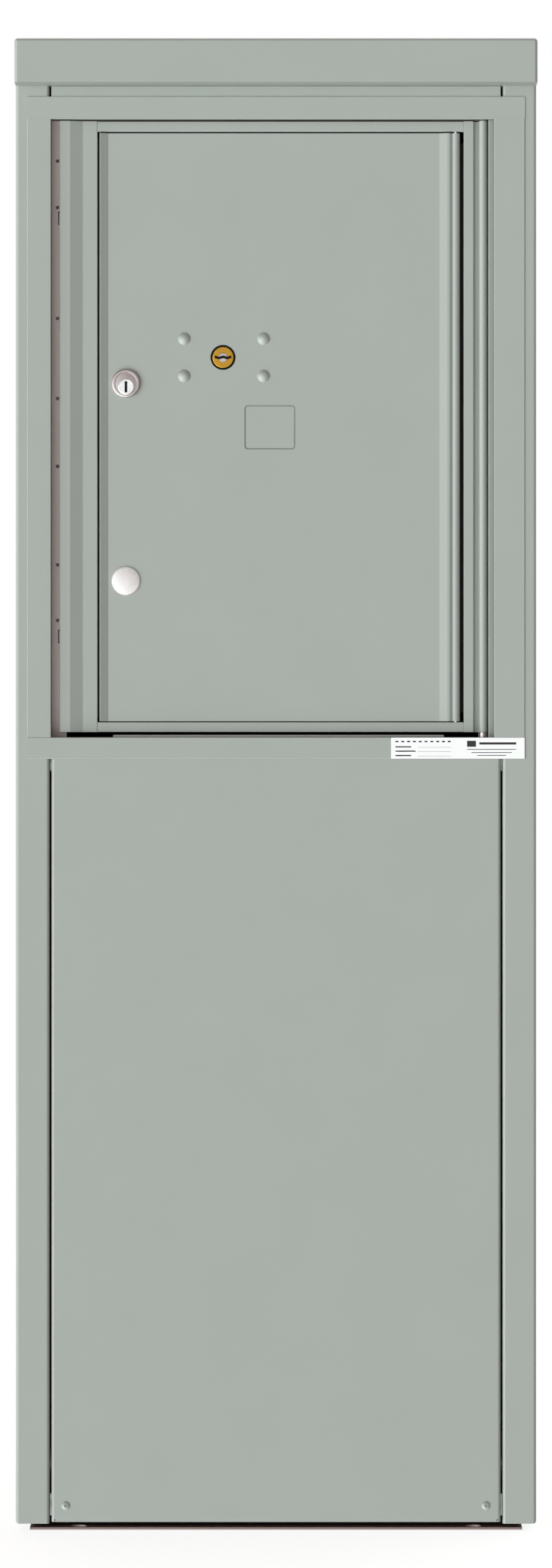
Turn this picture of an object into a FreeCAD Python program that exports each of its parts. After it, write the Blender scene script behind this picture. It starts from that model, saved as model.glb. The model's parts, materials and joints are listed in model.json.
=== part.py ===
import FreeCAD, Part
import math
import os
from FreeCAD import Vector

# A free-standing depot cabinet for mail: a sheet metal cabinet with a cap, a base tray and a lower
# access panel, which carries one parcel locker module behind a four-piece trim frame.
# Millimetres. +Z is up, the front faces -Y, and the origin is under the middle of the whole cabinet.

# ---- Driving dimensions: cabinet ----
cabinet_width = 466.0
cabinet_depth = 450.0
cabinet_height = 1292.4
sheet = 1.5
bend_radius = 2.8
front_flange = 30.1
flange_return = 17.0
rear_flange = 20.0
rear_setback = 2.0
rear_side_gap = 1.0
side_foot_gap = 5.7
sheet_screw = 2.0
sheet_screw_length = 8.0
cap_screw_length = 7.0
rear_screw_rows = 4
rear_screw_margin = 40.0
side_screw_front = 50.0
side_screw_rear = 60.0
base_screw_drop = 15.0

cap_height = 39.2
cap_overhang = 26.0
cap_hem = 38.0
cap_bend_radius = 3.0

base_plate = 2.0
base_inset = 12.5
base_upstand = 60.0
base_setback = 3.0
anchor_hole = 14.0
anchor_spacing_x = 354.0
anchor_setback_front = 14.0
anchor_setback_rear = 48.0

panel_gap = 1.8
panel_foot_gap = 7.2
panel_return = 8.0
panel_screw_inset = 13.0
panel_screw_height = 14.7
panel_notch_width = 1.0
panel_notch_height = 2.4
panel_notch_inset = 3.0
panel_setback = 0.3
panel_lap = 14.0
panel_screw_hole = 2.6
panel_screw_shank = 2.5
panel_screw_length = 14.0
panel_screw_head = 4.15
panel_screw_rise = 1.9
screw_socket = 1.0
screw_pin = 0.5
bracket_width = 23.0
bracket_half = 10.0
bracket_gap = 0.3

# ---- Driving dimensions: trim frame and module housing ----
pedestal_height = 709.3
header_height = 29.7
header_gap = 2.0
lid_gap = 0.2
trim_plate = 1.2
trim_inset = 10.25
trim_rail_top = 20.0
trim_rail_bottom = 19.3
trim_return = 6.0
trim_edge_round = 0.5
wall = 1.2
wall_fit = 0.2
right_filler = 7.6
housing_depth = 383.0
jamb_width = 13.5
jamb_leg = 20.0
rivet_radius = 1.6
rivet_rise = 0.8
rivet_shank = 0.8
rivet_inset = 5.3
sill_lip = 2.4
sill_foot = 14.0
sill_sheet = 1.0
sill_inset_left = 12.0
sill_inset_right = 18.0
leaf_gap = 1.4
leaf_slope = 1.3
rail_leg = 38.0
rail_shelf = 60.0
rail_sheet = 2.0
cross_rail_height = 26.0
cross_rail_lap = 15.5
rail_front_gap = 5.0
label_width = 119.5
label_height = 18.7
label_thickness = 0.25
label_corner = 0.6
label_inset = 0.3

# ---- Driving dimensions: master door frame ----
door_recess = 11.0
frame_proud = 3.5
frame_wall = 2.5
frame_top_gap = 0.9
frame_bottom_gap = 4.9
frame_side_gap = 7.6
left_stile_width = 33.8
left_stile_outer = 9.3
left_stile_ramp = 11.3
right_stile_flat = 8.8
right_stile_groove = 4.9
groove_depth = 4.6
master_bead = 3.5
master_bead_gap = 6.2
master_rod = 2.0
top_rail_height = 9.3
bottom_rail_height = 8.9
stop_width = 8.1
stop_gap = 0.6
jamb_gap = 0.8
running_fit = 0.1
bushing_gap = 0.3
edge_round = 0.6
baffle_width = 18.0
baffle_sheet = 2.0
baffle_reach = 5.0
rail_web = 8.0
stop_rod_gap = 2.6
frame_screw = 1.2
rod_seat = 8.0

# ---- Driving dimensions: parcel door ----
door_thickness = 2.5
door_gap_left = 2.0
door_gap_top = 1.5
door_gap_bottom = 0.8
door_gap_right = 3.4
lip_width = 7.7
lip_rise = 3.8
parcel_bead = 3.7
parcel_rod = 1.6
ridge_width = 7.0
ridge_rise = 1.6
ridge_setback = 1.0
recess_width = 45.5
recess_height = 39.6
recess_depth = 0.8
recess_corner = 3.0
recess_offset = -7.0

# ---- Driving dimensions: locks and latch ----
lock_inset = 23.6
lock_height = 39.3
lock_head = 12.75
lock_head_proud = 3.5
plug_offset = 3.3
plug_radius = 7.15
barrel_radius = 9.2
barrel_length = 13.0
nut_radius = 13.5
nut_thickness = 4.5
keyway_width = 2.4
keyway_height = 10.2
keyway_depth = 8.0
plug_proud = 0.2
cam_square = 3.0
cam_thread = 1.5
cam_reach = 22.6
cam_width = 12.0
cam_thickness = 2.0
blank_height = -137.6
blank_proud = 2.4
blank_margin = 24.0
blank_crown = 1.0
clip_gap = 5.0

arrow_inset = 110.6
arrow_height = 62.7
arrow_hole = 11.25
arrow_plug_radius = 9.5
arrow_core_radius = 4.15
arrow_keyway = 15.0
arrow_keyway_width = 2.5
arrow_keyway_wave = 0.9
arrow_keyway_depth = 5.0
arrow_plug_set = 0.4
arrow_core_set = 0.7
arrow_plate = 2.0
arrow_plate_corner = 4.0
arrow_case_width = 54.0
arrow_case_height = 26.0
arrow_case_depth = 14.0
crank_set = 4.8
bolt_spacing_x = 71.2
bolt_spacing_z = 33.4
bolt_head_radius = 5.7
bolt_head_height = 3.0
bolt_shank = 3.0
bolt_offset = 0.8
bolt_end = 10.0
nut_flats = 10.0
nut_height = 4.0
crank_radius = 6.4
crank_pin = 1.8
crank_slack = 0.5
bolt_throw = 9.0
bolt_bar_height = 12.0
bolt_bar_thickness = 4.0

latch_width = 12.0
latch_thickness = 3.0
latch_travel = 12.0
latch_end_margin = 36.0
latch_inset = 7.4
stud_slot = 2.8
hook_reach = 8.5
hook_height = 10.0
hook_gap = 0.8

# ---- Planes and lines worked out from them ----
half_width = cabinet_width / 2
overall_depth = cabinet_depth + cap_overhang
front_y = -overall_depth / 2 + cap_overhang
rear_y = overall_depth / 2
rear_face = rear_y - rear_setback
flange_x = half_width - front_flange
trim_y = front_y - trim_plate
return_y = trim_y + trim_return
opening_left = -flange_x + wall_fit + wall
opening_right = flange_x - right_filler
opening_bottom = pedestal_height
opening_top = cabinet_height - header_height
trim_half = half_width - trim_inset
trim_top_z = opening_top + trim_rail_top
trim_bottom_z = opening_bottom - trim_rail_bottom
panel_half = flange_x - panel_gap

door_y = trim_y + door_recess
frame_y = door_y - frame_proud
door_back = door_y + door_thickness
stop_y = door_back + stop_gap
stop_back = stop_y + frame_wall
jamb_y = stop_back + jamb_gap
jamb_back = jamb_y + wall

frame_left = opening_left + frame_side_gap
frame_bottom = opening_bottom + frame_bottom_gap
frame_top = opening_top - frame_top_gap
stile_inner = frame_left + left_stile_width
master_x = opening_right - master_bead - master_bead_gap
master_y = frame_y + master_bead
bead_left = master_x - master_bead
right_stile = bead_left - right_stile_groove - right_stile_flat

door_left = stile_inner + door_gap_left
door_bottom = frame_bottom + bottom_rail_height + door_gap_bottom
door_top = frame_top - top_rail_height - door_gap_top
door_mid = (door_bottom + door_top) / 2
parcel_x = right_stile - door_gap_right - parcel_bead
parcel_y = door_y + parcel_bead - ridge_rise

lock_x = door_left + lock_inset
ring_z = door_mid + lock_height
lock_z = ring_z - plug_offset
blank_z = max(door_mid + blank_height, door_bottom + blank_margin)
arrow_x = door_left + arrow_inset
arrow_z = door_mid + arrow_height
cam_y = door_y + barrel_length + plug_proud

latch_x = frame_left + latch_inset
latch_y = jamb_back + stop_gap
latch_bottom = frame_bottom + latch_end_margin
latch_top = frame_top - latch_end_margin


# ---- Shape helpers ----
def block(x0, x1, y0, y1, z0, z1):
    return Part.makeBox(x1 - x0, y1 - y0, z1 - z0, Vector(x0, y0, z0))


def upright(x, y, radius, z0, z1):
    return Part.makeCylinder(radius, z1 - z0, Vector(x, y, z0), Vector(0, 0, 1))


def through(x, z, radius, y0, y1):
    return Part.makeCylinder(radius, y1 - y0, Vector(x, y0, z), Vector(0, 1, 0))


def sideways(x0, x1, y, z, radius):
    return Part.makeCylinder(radius, x1 - x0, Vector(x0, y, z), Vector(1, 0, 0))


def join(first, *others):
    return first.fuse(list(others)).removeSplitter()


def prism(points, z0, z1):
    corners = [Vector(x, y, z0) for x, y in points]
    wire = Part.makePolygon(corners + corners[:1])
    return Part.Face(wire).extrude(Vector(0, 0, z1 - z0))


def revolve(profile, x, z):
    corners = [Vector(x + radius, y, z) for radius, y in profile]
    wire = Part.makePolygon(corners + corners[:1])
    return Part.Face(wire).revolve(Vector(x, 0, z), Vector(0, 1, 0), 360)


def domed(x, z, radius, rise, base_y):
    sphere_radius = (radius * radius + rise * rise) / (2 * rise)
    ball = Part.makeSphere(sphere_radius, Vector(x, base_y - rise + sphere_radius, z))
    return ball.common(through(x, z, radius, base_y - rise - 1, base_y))


def rounded(shape, radius, chosen):
    edges = [edge for edge in shape.Edges if chosen(edge)]
    return shape.makeFillet(radius, edges)


def on_lines(places, axis, tolerance=0.01):
    def chosen(edge):
        ends = [vertex.Point for vertex in edge.Vertexes]
        if len(ends) != 2:
            return False
        along = [abs(ends[0][k] - ends[1][k]) > tolerance for k in range(3)]
        if along != [k == axis for k in range(3)]:
            return False
        across = [ends[0][k] for k in range(3) if k != axis]
        return any(all(abs(a - b) < tolerance for a, b in zip(across, place)) for place in places)
    return chosen


def rounded_plate(x, z, width, height, corner, y0, y1):
    plate = block(x - width / 2, x + width / 2, y0, y1, z - height / 2, z + height / 2)
    sides = [(x + i * width / 2, z + j * height / 2) for i in (-1, 1) for j in (-1, 1)]
    return rounded(plate, corner, on_lines(sides, 1))


def hexagon(x, z, across_flats, y0, y1):
    reach = across_flats / math.sqrt(3)
    turns = [math.radians(60 * k) for k in range(7)]
    corners = [Vector(x + reach * math.cos(a), y0, z + reach * math.sin(a)) for a in turns]
    return Part.Face(Part.makePolygon(corners)).extrude(Vector(0, y1 - y0, 0))


def mirrored(shape):
    return shape.mirror(Vector(0, 0, 0), Vector(1, 0, 0))


def save(name, *solids):
    shape = solids[0] if len(solids) == 1 else Part.makeCompound(list(solids))
    for solid in shape.Solids:
        if not solid.isValid():
            print("not valid:", name)
    shape.exportStep("parts/" + name + ".step")
    volume = sum(solid.Volume for solid in shape.Solids)
    print(name, len(shape.Solids), "solid(s)", round(volume / 1000, 2), "cm3")


# ---- Cabinet ----
def side_panel():
    inner = -half_width + sheet
    back = rear_face - sheet
    skin = block(-half_width, inner, front_y, back, side_foot_gap, cabinet_height)
    flange = block(-half_width, -flange_x, front_y, front_y + sheet, side_foot_gap, cabinet_height)
    turn = block(-flange_x - sheet, -flange_x, front_y, front_y + flange_return,
                 side_foot_gap, cabinet_height)
    rear = block(-half_width, -half_width + rear_flange, back - sheet, back,
                 side_foot_gap, cabinet_height)
    top = block(-half_width, -half_width + rear_flange, front_y, back,
                cabinet_height - sheet, cabinet_height)
    foot = block(-half_width, -half_width + base_inset, front_y, back,
                 side_foot_gap, side_foot_gap + sheet)
    lip = block(-half_width + base_inset - sheet, -half_width + base_inset,
                front_y + flange_return, back, side_foot_gap, base_upstand)
    panel = join(skin, flange, turn, rear, top, foot, lip)
    upright_bends = on_lines([(-half_width, front_y), (-flange_x, front_y)], 2)
    foot_bend = on_lines([(-half_width, side_foot_gap)], 1)
    return rounded(panel, bend_radius, lambda edge: upright_bends(edge) or foot_bend(edge))


def rear_panel():
    return block(-half_width + rear_side_gap, half_width - rear_side_gap, rear_face - sheet, rear_face,
                 side_foot_gap, cabinet_height - lid_gap)


def top_cap():
    front = front_y - cap_overhang
    low = cabinet_height
    high = cabinet_height + cap_height
    shell = block(-half_width, half_width, front, rear_y, low, high)
    top_edges = on_lines([(front, high), (rear_y, high)], 0)
    side_edges = on_lines([(-half_width, high), (half_width, high)], 1)
    posts = [(i * half_width, y) for i in (-1, 1) for y in (front, rear_y)]
    corner_edges = on_lines(posts, 2)
    shell = rounded(shell, cap_bend_radius,
                    lambda edge: top_edges(edge) or side_edges(edge) or corner_edges(edge))
    inside = block(-half_width + sheet, half_width - sheet, front + sheet, rear_y - sheet,
                   low + sheet, high - sheet)
    mouth = block(-half_width + cap_hem / 2, half_width - cap_hem / 2, front + cap_hem,
                  rear_y - cap_hem / 2, low - 1, low + sheet + 1)
    return shell.cut([inside, mouth])


def header_panel():
    low = opening_top + wall + header_gap
    high = cabinet_height - lid_gap
    plate = block(-panel_half, panel_half, front_y, front_y + sheet, low, high)
    shelf = block(-panel_half, panel_half, front_y, front_y + flange_return, high - sheet, high)
    return join(plate, shelf)


def front_access_panel():
    high = trim_bottom_z + panel_lap
    face = front_y + panel_setback
    deep = face + panel_return
    body = block(-panel_half, panel_half, face, deep, panel_foot_gap, high)
    sides = [(-panel_half, face), (panel_half, face)]
    body = rounded(body, bend_radius, on_lines(sides, 2))
    hollow = block(-panel_half + sheet, panel_half - sheet, face + sheet, deep + 1,
                   panel_foot_gap + sheet, high - sheet)
    cuts = [hollow]
    for side in (-1, 1):
        x = side * (panel_half - panel_screw_inset)
        cuts.append(through(x, panel_foot_gap + panel_screw_height, panel_screw_hole,
                            face - 1, deep))
        notch = side * (panel_half - panel_notch_inset)
        cuts.append(block(notch - panel_notch_width / 2, notch + panel_notch_width / 2, face - 1,
                          face + sheet, panel_foot_gap - 1, panel_foot_gap + panel_notch_height))
    return body.cut(cuts)


def base_tray():
    outer = half_width - base_inset
    front = front_y + base_setback
    back = rear_face - 2 * sheet
    plate = block(-outer, outer, front, back, 0, base_plate)
    walls = [block(-outer, -outer + base_plate, front + flange_return, back, 0, base_upstand),
             block(outer - base_plate, outer, front + flange_return, back, 0, base_upstand)]
    tray = join(plate, *walls)
    holes = []
    for x in (-anchor_spacing_x / 2, anchor_spacing_x / 2):
        for y in (front_y + anchor_setback_front, rear_y - anchor_setback_rear):
            holes.append(upright(x, y, anchor_hole / 2, -1, base_plate + 1))
    return tray.cut(holes)


def support_rail():
    inner = -half_width + sheet
    top = opening_bottom - wall
    front = front_y + flange_return + rail_front_gap
    back = rear_face - rear_flange - sheet
    leg = block(inner, inner + rail_sheet, front, back, top - rail_leg, top)
    shelf = block(inner, inner + rail_shelf, front, back, top - rail_sheet, top)
    return join(leg, shelf)


def cross_rail():
    high = trim_bottom_z + cross_rail_lap
    front = front_y + panel_setback + panel_return + bracket_gap + wall_fit
    web = block(-flange_x, flange_x, front, front + rail_sheet, high - cross_rail_height, high)
    shelf = block(-flange_x, flange_x, front, front_y + flange_return, high - rail_sheet, high)
    return join(web, shelf)


def panel_bracket():
    front = front_y + panel_setback + panel_return + bracket_gap
    mid = panel_foot_gap + panel_screw_height
    low = mid - bracket_half
    high = mid + bracket_half
    plate = block(flange_x - bracket_width, flange_x, front, front + rail_sheet, low, high)
    leg = block(flange_x - rail_sheet, flange_x, front, front_y + flange_return, low, high)
    screw_x = panel_half - panel_screw_inset
    hole = through(screw_x, mid, panel_screw_shank, front - 1, front + rail_sheet + 1)
    return join(plate, leg).cut(hole)


def panel_screw():
    x = panel_half - panel_screw_inset
    z = panel_foot_gap + panel_screw_height
    face = front_y + panel_setback
    floor = face - panel_screw_rise + 1.2
    head = domed(x, z, panel_screw_head, panel_screw_rise, face)
    socket = through(x, z, screw_socket, face - 3, floor)
    pin = through(x, z, screw_pin, floor - 0.9, floor + 0.2)
    shank = through(x, z, panel_screw_shank, face - 0.1, face + panel_screw_length)
    return join(head.cut(socket), pin, shank)


def flat_head_screw(x, y, z, direction, radius, length):
    head = Part.makeCylinder(radius * 2, radius * 0.9, Vector(x, y, z), direction)
    rim = [edge for edge in head.Edges if edge.Length > radius * 12]
    head = head.makeFillet(radius * 0.35, [rim[0] if (rim[0].CenterOfMass - Vector(x, y, z)).Length
                                          > radius * 0.5 else rim[1]])
    shank = Part.makeCylinder(radius, length, Vector(x, y, z), direction * -1)
    return join(head, shank)


def rear_screws():
    low = side_foot_gap + rear_screw_margin
    high = cabinet_height - rear_screw_margin
    screws = []
    for row in range(rear_screw_rows):
        z = low + (high - low) * row / (rear_screw_rows - 1)
        for side in (-1, 1):
            x = side * (half_width - rear_flange / 2)
            screws.append(flat_head_screw(x, rear_face, z, Vector(0, 1, 0), sheet_screw,
                                          sheet_screw_length))
    return screws


def cap_screws():
    screws = []
    for side in (-1, 1):
        for y in (front_y + side_screw_front, 0, rear_y - side_screw_rear):
            x = side * (half_width - rear_flange / 2)
            screws.append(flat_head_screw(x, y, cabinet_height - sheet, Vector(0, 0, -1), sheet_screw,
                                          cap_screw_length))
    return screws


def base_screws():
    screws = []
    outer = half_width - base_inset
    for side in (-1, 1):
        for y in (front_y + side_screw_front, 0, rear_y - side_screw_rear):
            x = side * (outer - base_plate)
            screws.append(flat_head_screw(x, y, base_upstand - base_screw_drop, Vector(-side, 0, 0),
                                          sheet_screw, sheet_screw_length))
    return screws


def holes_for(shape, screws):
    return shape.cut(screws)


# ---- Trim frame and module housing ----
def trim_rail(low, high, lip_low):
    plate = block(-trim_half, trim_half, trim_y, front_y, low, high)
    edges = [(trim_y, z) for z in (low, high)]
    plate = rounded(plate, trim_edge_round, on_lines(edges, 0))
    lip = block(opening_left, opening_right, front_y - 0.5, return_y, lip_low, lip_low + wall)
    return join(plate, lip)


def trim_stile(outer, inner, lip_start):
    plate = block(min(outer, inner), max(outer, inner), trim_y, front_y,
                  opening_bottom, opening_top)
    plate = rounded(plate, trim_edge_round, on_lines([(outer, trim_y), (inner, trim_y)], 2))
    lip = block(lip_start, lip_start + wall, front_y - 0.5, return_y, opening_bottom, opening_top)
    return join(plate, lip)


def data_label():
    x = trim_half - label_width / 2 - label_inset
    z = (trim_bottom_z + opening_bottom) / 2
    return rounded_plate(x, z, label_width, label_height, label_corner,
                         trim_y - label_thickness, trim_y)


def left_jamb():
    flange = block(opening_left, opening_left + jamb_width, jamb_y, jamb_back,
                   opening_bottom, opening_top)
    leg = block(opening_left, opening_left + wall, jamb_y, jamb_y + jamb_leg,
                opening_bottom, opening_top)
    notches = []
    for z in hook_heights():
        notches.append(block(latch_x - hook_reach - hook_gap, opening_left + jamb_width + 1, jamb_y - 1,
                             jamb_back + 1, z - hook_height / 2 - 1, z + hook_height / 2 + 1))
    return join(flange, leg).cut(notches)


def right_jamb():
    flange = block(opening_right - jamb_width, opening_right, jamb_y, jamb_back,
                   opening_bottom, opening_top)
    leg = block(opening_right - wall, opening_right, jamb_y, jamb_y + jamb_leg,
                opening_bottom, opening_top)
    return join(flange, leg)


def hinge_leaf():
    near = master_x + master_bead + leaf_gap
    outline = [(near, frame_y), (opening_right, frame_y + leaf_slope),
               (opening_right, jamb_y), (near, jamb_y)]
    leaf = prism(outline, opening_bottom, opening_top)
    return rounded(leaf, trim_edge_round, on_lines([(near, frame_y)], 2))


def clear_of_hooks(z):
    """Moves a rivet that would fall into one of the jamb's hook slots to just above it."""
    room = hook_height / 2 + 1 + 2 * rivet_radius
    for hook_z in hook_heights():
        if abs(z - hook_z) < room:
            return hook_z + room
    return z


def jamb_rivets():
    places = [0.065, 0.165, 0.32, 0.45, 0.56, 0.72, 0.81]
    x = opening_left + rivet_inset
    height = opening_top - opening_bottom
    rivets = []
    for share in places:
        z = clear_of_hooks(opening_top - share * height)
        rivets.append(join(domed(x, z, rivet_radius, rivet_rise, jamb_y),
                           through(x, z, rivet_shank, jamb_y - 0.1, jamb_back)))
    return rivets


def sill_stop():
    low = opening_bottom
    left = door_left + sill_inset_left
    right = right_stile - sill_inset_right
    front = door_y - sill_sheet
    lip = block(left, right, front, front + wall, low, low + sill_lip)
    foot = block(left, right, front, front + sill_foot, low, low + sill_sheet)
    return join(lip, foot)


def master_hinge_rod():
    return upright(master_x, master_y, master_rod, opening_bottom, opening_top)


def hinge_bushings():
    bushings = []
    for low, high in ((opening_bottom, frame_bottom - bushing_gap),
                      (frame_top + bushing_gap, opening_top)):
        ring = upright(master_x, master_y, master_bead, low, high)
        bushings.append(ring.cut(upright(master_x, master_y, master_rod, low - 1, high + 1)))
    return bushings


# ---- Master door frame ----
def frame_left_stile():
    ramp_start = frame_left + left_stile_outer
    ramp_end = ramp_start + left_stile_ramp
    outline = [(frame_left, frame_y), (ramp_start, frame_y), (ramp_end, door_y),
               (stile_inner, door_y), (stile_inner, stop_back),
               (stile_inner - frame_wall, stop_back), (stile_inner - frame_wall, door_y + frame_wall),
               (ramp_end - 0.4, door_y + frame_wall), (ramp_start - 0.4, frame_y + frame_wall),
               (frame_left + frame_wall, frame_y + frame_wall),
               (frame_left + frame_wall, stop_back), (frame_left, stop_back)]
    stile = prism(outline, frame_bottom, frame_top)
    crests = [(frame_left, frame_y), (ramp_start, frame_y), (ramp_end, door_y), (stile_inner, door_y)]
    stile = rounded(stile, edge_round, on_lines(crests, 2))
    stop = block(stile_inner - 0.5, stile_inner + stop_width, stop_y, stop_back,
                 door_bottom + stop_width, door_top - stop_width)
    return join(stile, stop)


def frame_right_stile():
    groove_x = right_stile + right_stile_flat
    groove_y = door_y + groove_depth
    web_x = master_x - master_bead / 2
    outline = [(right_stile, door_y), (groove_x, door_y), (groove_x, groove_y), (web_x, groove_y),
               (web_x, master_y), (master_x + 1.4, master_y), (master_x + 1.4, stop_back),
               (right_stile, stop_back)]
    stile = prism(outline, frame_bottom, frame_top)
    stile = rounded(stile, edge_round, on_lines([(right_stile, door_y), (groove_x, door_y)], 2))
    bead = upright(master_x, master_y, master_bead, frame_bottom, frame_top)
    inner = right_stile + baffle_sheet
    back = stop_back + baffle_reach
    leg = block(right_stile, inner, stop_back - 0.5, back, door_bottom + stop_width,
                door_top - stop_width)
    baffle = block(inner - baffle_width, inner, back - baffle_sheet, back,
                   door_bottom + stop_width, door_top - stop_width)
    whole = join(stile, bead, leg, baffle)
    return whole.cut(upright(master_x, master_y, master_rod + running_fit,
                             frame_bottom - 1, frame_top + 1))


def frame_rail(low, high, stop_low, stop_high, web_low):
    bar = block(stile_inner, right_stile, door_y, stop_y, low, high)
    edges = [(door_y, low), (door_y, high)]
    bar = rounded(bar, edge_round, on_lines(edges, 0))
    stop = block(stile_inner, parcel_x - parcel_bead - stop_rod_gap, stop_y - 0.5, stop_back,
                 stop_low, stop_high)
    backing = block(stile_inner, right_stile, stop_y - 0.5, stop_back, low, high)
    web = block(stile_inner, right_stile - wall_fit, stop_back - 0.5, stop_back + rail_web,
                web_low, web_low + frame_wall)
    rail = join(bar, backing, stop, web)
    return rail.cut(parcel_hinge_rod())


def frame_screws():
    screws = []
    for z in (frame_bottom + bottom_rail_height / 2, frame_top - top_rail_height / 2):
        screws.append(sideways(stile_inner - frame_wall - frame_screw, stile_inner + 9, stop_y, z,
                               frame_screw))
        screws.append(sideways(right_stile - 4 * frame_screw, right_stile + 7, stop_y, z, frame_screw))
    return screws


def parcel_hinge_rod():
    return upright(parcel_x, parcel_y, parcel_rod, door_bottom - rod_seat, door_top + rod_seat)


def cam_strike():
    back = cam_y - stop_gap
    pad = block(stile_inner + 0.6, stile_inner + stop_width - 0.6, stop_back, stop_back + 2,
                lock_z - 13, lock_z + 13)
    shelf = block(stile_inner + 0.6, stile_inner + stop_width - 0.6, stop_back, back,
                  lock_z - 8, lock_z + 8)
    return join(pad, shelf)


def hook_heights():
    mid = (latch_bottom + latch_top) / 2
    reach = (latch_top - latch_bottom) / 2 - 50
    return [mid - reach, mid + reach]


def stud_heights():
    mid = (latch_bottom + latch_top) / 2
    reach = (latch_top - latch_bottom) / 2 - 20
    return [mid - reach, mid, mid + reach]


def latch_studs():
    studs = []
    seat = frame_y + frame_wall
    for z in stud_heights():
        studs.append(revolve([(0, seat), (3.6, seat), (3.6, latch_y - 0.2), (2.4, latch_y - 0.2),
                              (2.4, latch_y + latch_thickness + 0.2),
                              (4.5, latch_y + latch_thickness + 0.2),
                              (4.5, latch_y + latch_thickness + 1.8),
                              (0, latch_y + latch_thickness + 1.8)], latch_stud_x(), z))
    return studs


def latch_stud_x():
    return latch_x + latch_width / 2


def master_latch_bar():
    bar = block(latch_x, latch_x + latch_width, latch_y, latch_y + latch_thickness,
                latch_bottom, latch_top)
    hooks = [block(latch_x - hook_reach, latch_x + 1, latch_y, latch_y + latch_thickness,
                   z - hook_height / 2, z + hook_height / 2) for z in hook_heights()]
    slots = []
    for z in stud_heights():
        low = z - latch_travel - 0.4
        high = z + 0.4
        x = latch_stud_x()
        slots.append(join(through(x, low, stud_slot, latch_y - 1, latch_y + 5),
                          through(x, high, stud_slot, latch_y - 1, latch_y + 5),
                          block(x - stud_slot, x + stud_slot, latch_y - 1, latch_y + 5, low, high)))
    return join(bar, *hooks).cut(slots)


def latch_thumb_tab():
    mid = (latch_bottom + latch_top) / 2 - 60
    seat = latch_y + latch_thickness
    pad = block(latch_x + 1, latch_x + latch_width, seat, seat + 1.5, mid - 14, mid + 14)
    grip = block(latch_x + latch_width - 2, latch_x + latch_width, seat, seat + 16, mid - 9, mid + 9)
    grip = rounded(grip, 5, on_lines([(seat + 16, mid - 9), (seat + 16, mid + 9)], 0))
    return join(pad, grip)


# ---- Parcel door ----
def parcel_door_panel():
    ridge_end = parcel_x - parcel_bead + ridge_setback
    ridge_mid = ridge_end - ridge_width / 2
    ridge_start = ridge_end - ridge_width
    crest = door_y - ridge_rise
    outline = [(door_left, door_y - lip_rise), (door_left + lip_width, door_y),
               (ridge_start - 3, door_y), (ridge_mid - 2, crest), (ridge_mid + 1, crest),
               (ridge_end, door_y + 0.4), (parcel_x - 2, door_y + 0.4), (parcel_x - 2, door_back),
               (door_left, door_back)]
    panel = prism(outline, door_bottom, door_top)
    panel = rounded(panel, 0.9, on_lines([(door_left, door_y - lip_rise)], 2))
    panel = rounded(panel, 2.5, on_lines([(door_left + lip_width, door_y)], 2))
    crests = [(ridge_mid - 2, crest), (ridge_mid + 1, crest)]
    panel = rounded(panel, 1.4, on_lines(crests, 2))
    bead = upright(parcel_x, parcel_y, parcel_bead, door_bottom, door_top)
    panel = join(panel, bead)
    cuts = [upright(parcel_x, parcel_y, parcel_rod + running_fit, door_bottom - 1, door_top + 1),
            through(arrow_x, arrow_z, arrow_hole, door_y - 1, door_back + 1),
            through(lock_x, lock_z, barrel_radius, door_y - 1, door_back + 1),
            through(lock_x, blank_z, barrel_radius, door_y - 1, door_back + 1),
            rounded_plate((door_left + parcel_x) / 2 + recess_offset, door_mid, recess_width, recess_height,
                          recess_corner, door_y - 1, door_y + recess_depth)]
    for x, z in bolt_places():
        cuts.append(through(x, z, bolt_shank, door_y - 1, door_back + 1))
    return panel.cut(cuts)


def bolt_places():
    return [(arrow_x + bolt_offset + i * bolt_spacing_x / 2, arrow_z + j * bolt_spacing_z / 2)
            for i in (-1, 1) for j in (-1, 1)]


def customer_lock_body():
    head = through(lock_x, ring_z, lock_head, door_y - lock_head_proud, door_y)
    front = [edge for edge in head.Edges
             if abs(edge.CenterOfMass.y - door_y + lock_head_proud) < 0.01]
    head = head.makeFillet(1.2, front)
    barrel = through(lock_x, lock_z, barrel_radius, door_y - 0.5, door_y + barrel_length)
    bore = through(lock_x, lock_z, plug_radius + running_fit / 2, door_y - 9, cam_y + 1)
    return join(head, barrel).cut(bore)


def customer_lock_nut():
    nut = hexagon(lock_x, lock_z, nut_radius * 2 * 0.87, door_back, door_back + nut_thickness)
    return nut.cut(through(lock_x, lock_z, barrel_radius, door_back - 1, door_back + 9))


def customer_lock_plug():
    front = door_y - lock_head_proud - plug_proud
    plug = through(lock_x, lock_z, plug_radius, front, cam_y - 0.1)
    rim = [edge for edge in plug.Edges if abs(edge.CenterOfMass.y - front) < 0.01]
    plug = plug.makeFillet(0.5, rim)
    tail = block(lock_x - cam_square, lock_x + cam_square, cam_y - 0.3, cam_y + cam_thickness + plug_proud,
                 lock_z - cam_square, lock_z + cam_square)
    keyway = block(lock_x - keyway_width / 2, lock_x + keyway_width / 2, front - 1,
                   front + keyway_depth, lock_z - keyway_height / 2, lock_z + keyway_height / 2)
    thread = through(lock_x, lock_z, cam_thread, cam_y - 4, cam_y + cam_thickness + 1)
    return join(plug, tail).cut([keyway, thread])


def customer_cam():
    hub = through(lock_x, lock_z, 7, cam_y, cam_y + cam_thickness)
    arm = block(lock_x - cam_width / 2, lock_x + cam_width / 2, cam_y, cam_y + cam_thickness,
                lock_z - cam_reach, lock_z)
    tip = [(lock_x - cam_width / 2, lock_z - cam_reach), (lock_x + cam_width / 2, lock_z - cam_reach)]
    arm = rounded(arm, 2.5, on_lines(tip, 1))
    seat = block(lock_x - cam_square, lock_x + cam_square, cam_y - 1, cam_y + cam_thickness + 1,
                 lock_z - cam_square, lock_z + cam_square)
    return join(hub, arm).cut(seat)


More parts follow.
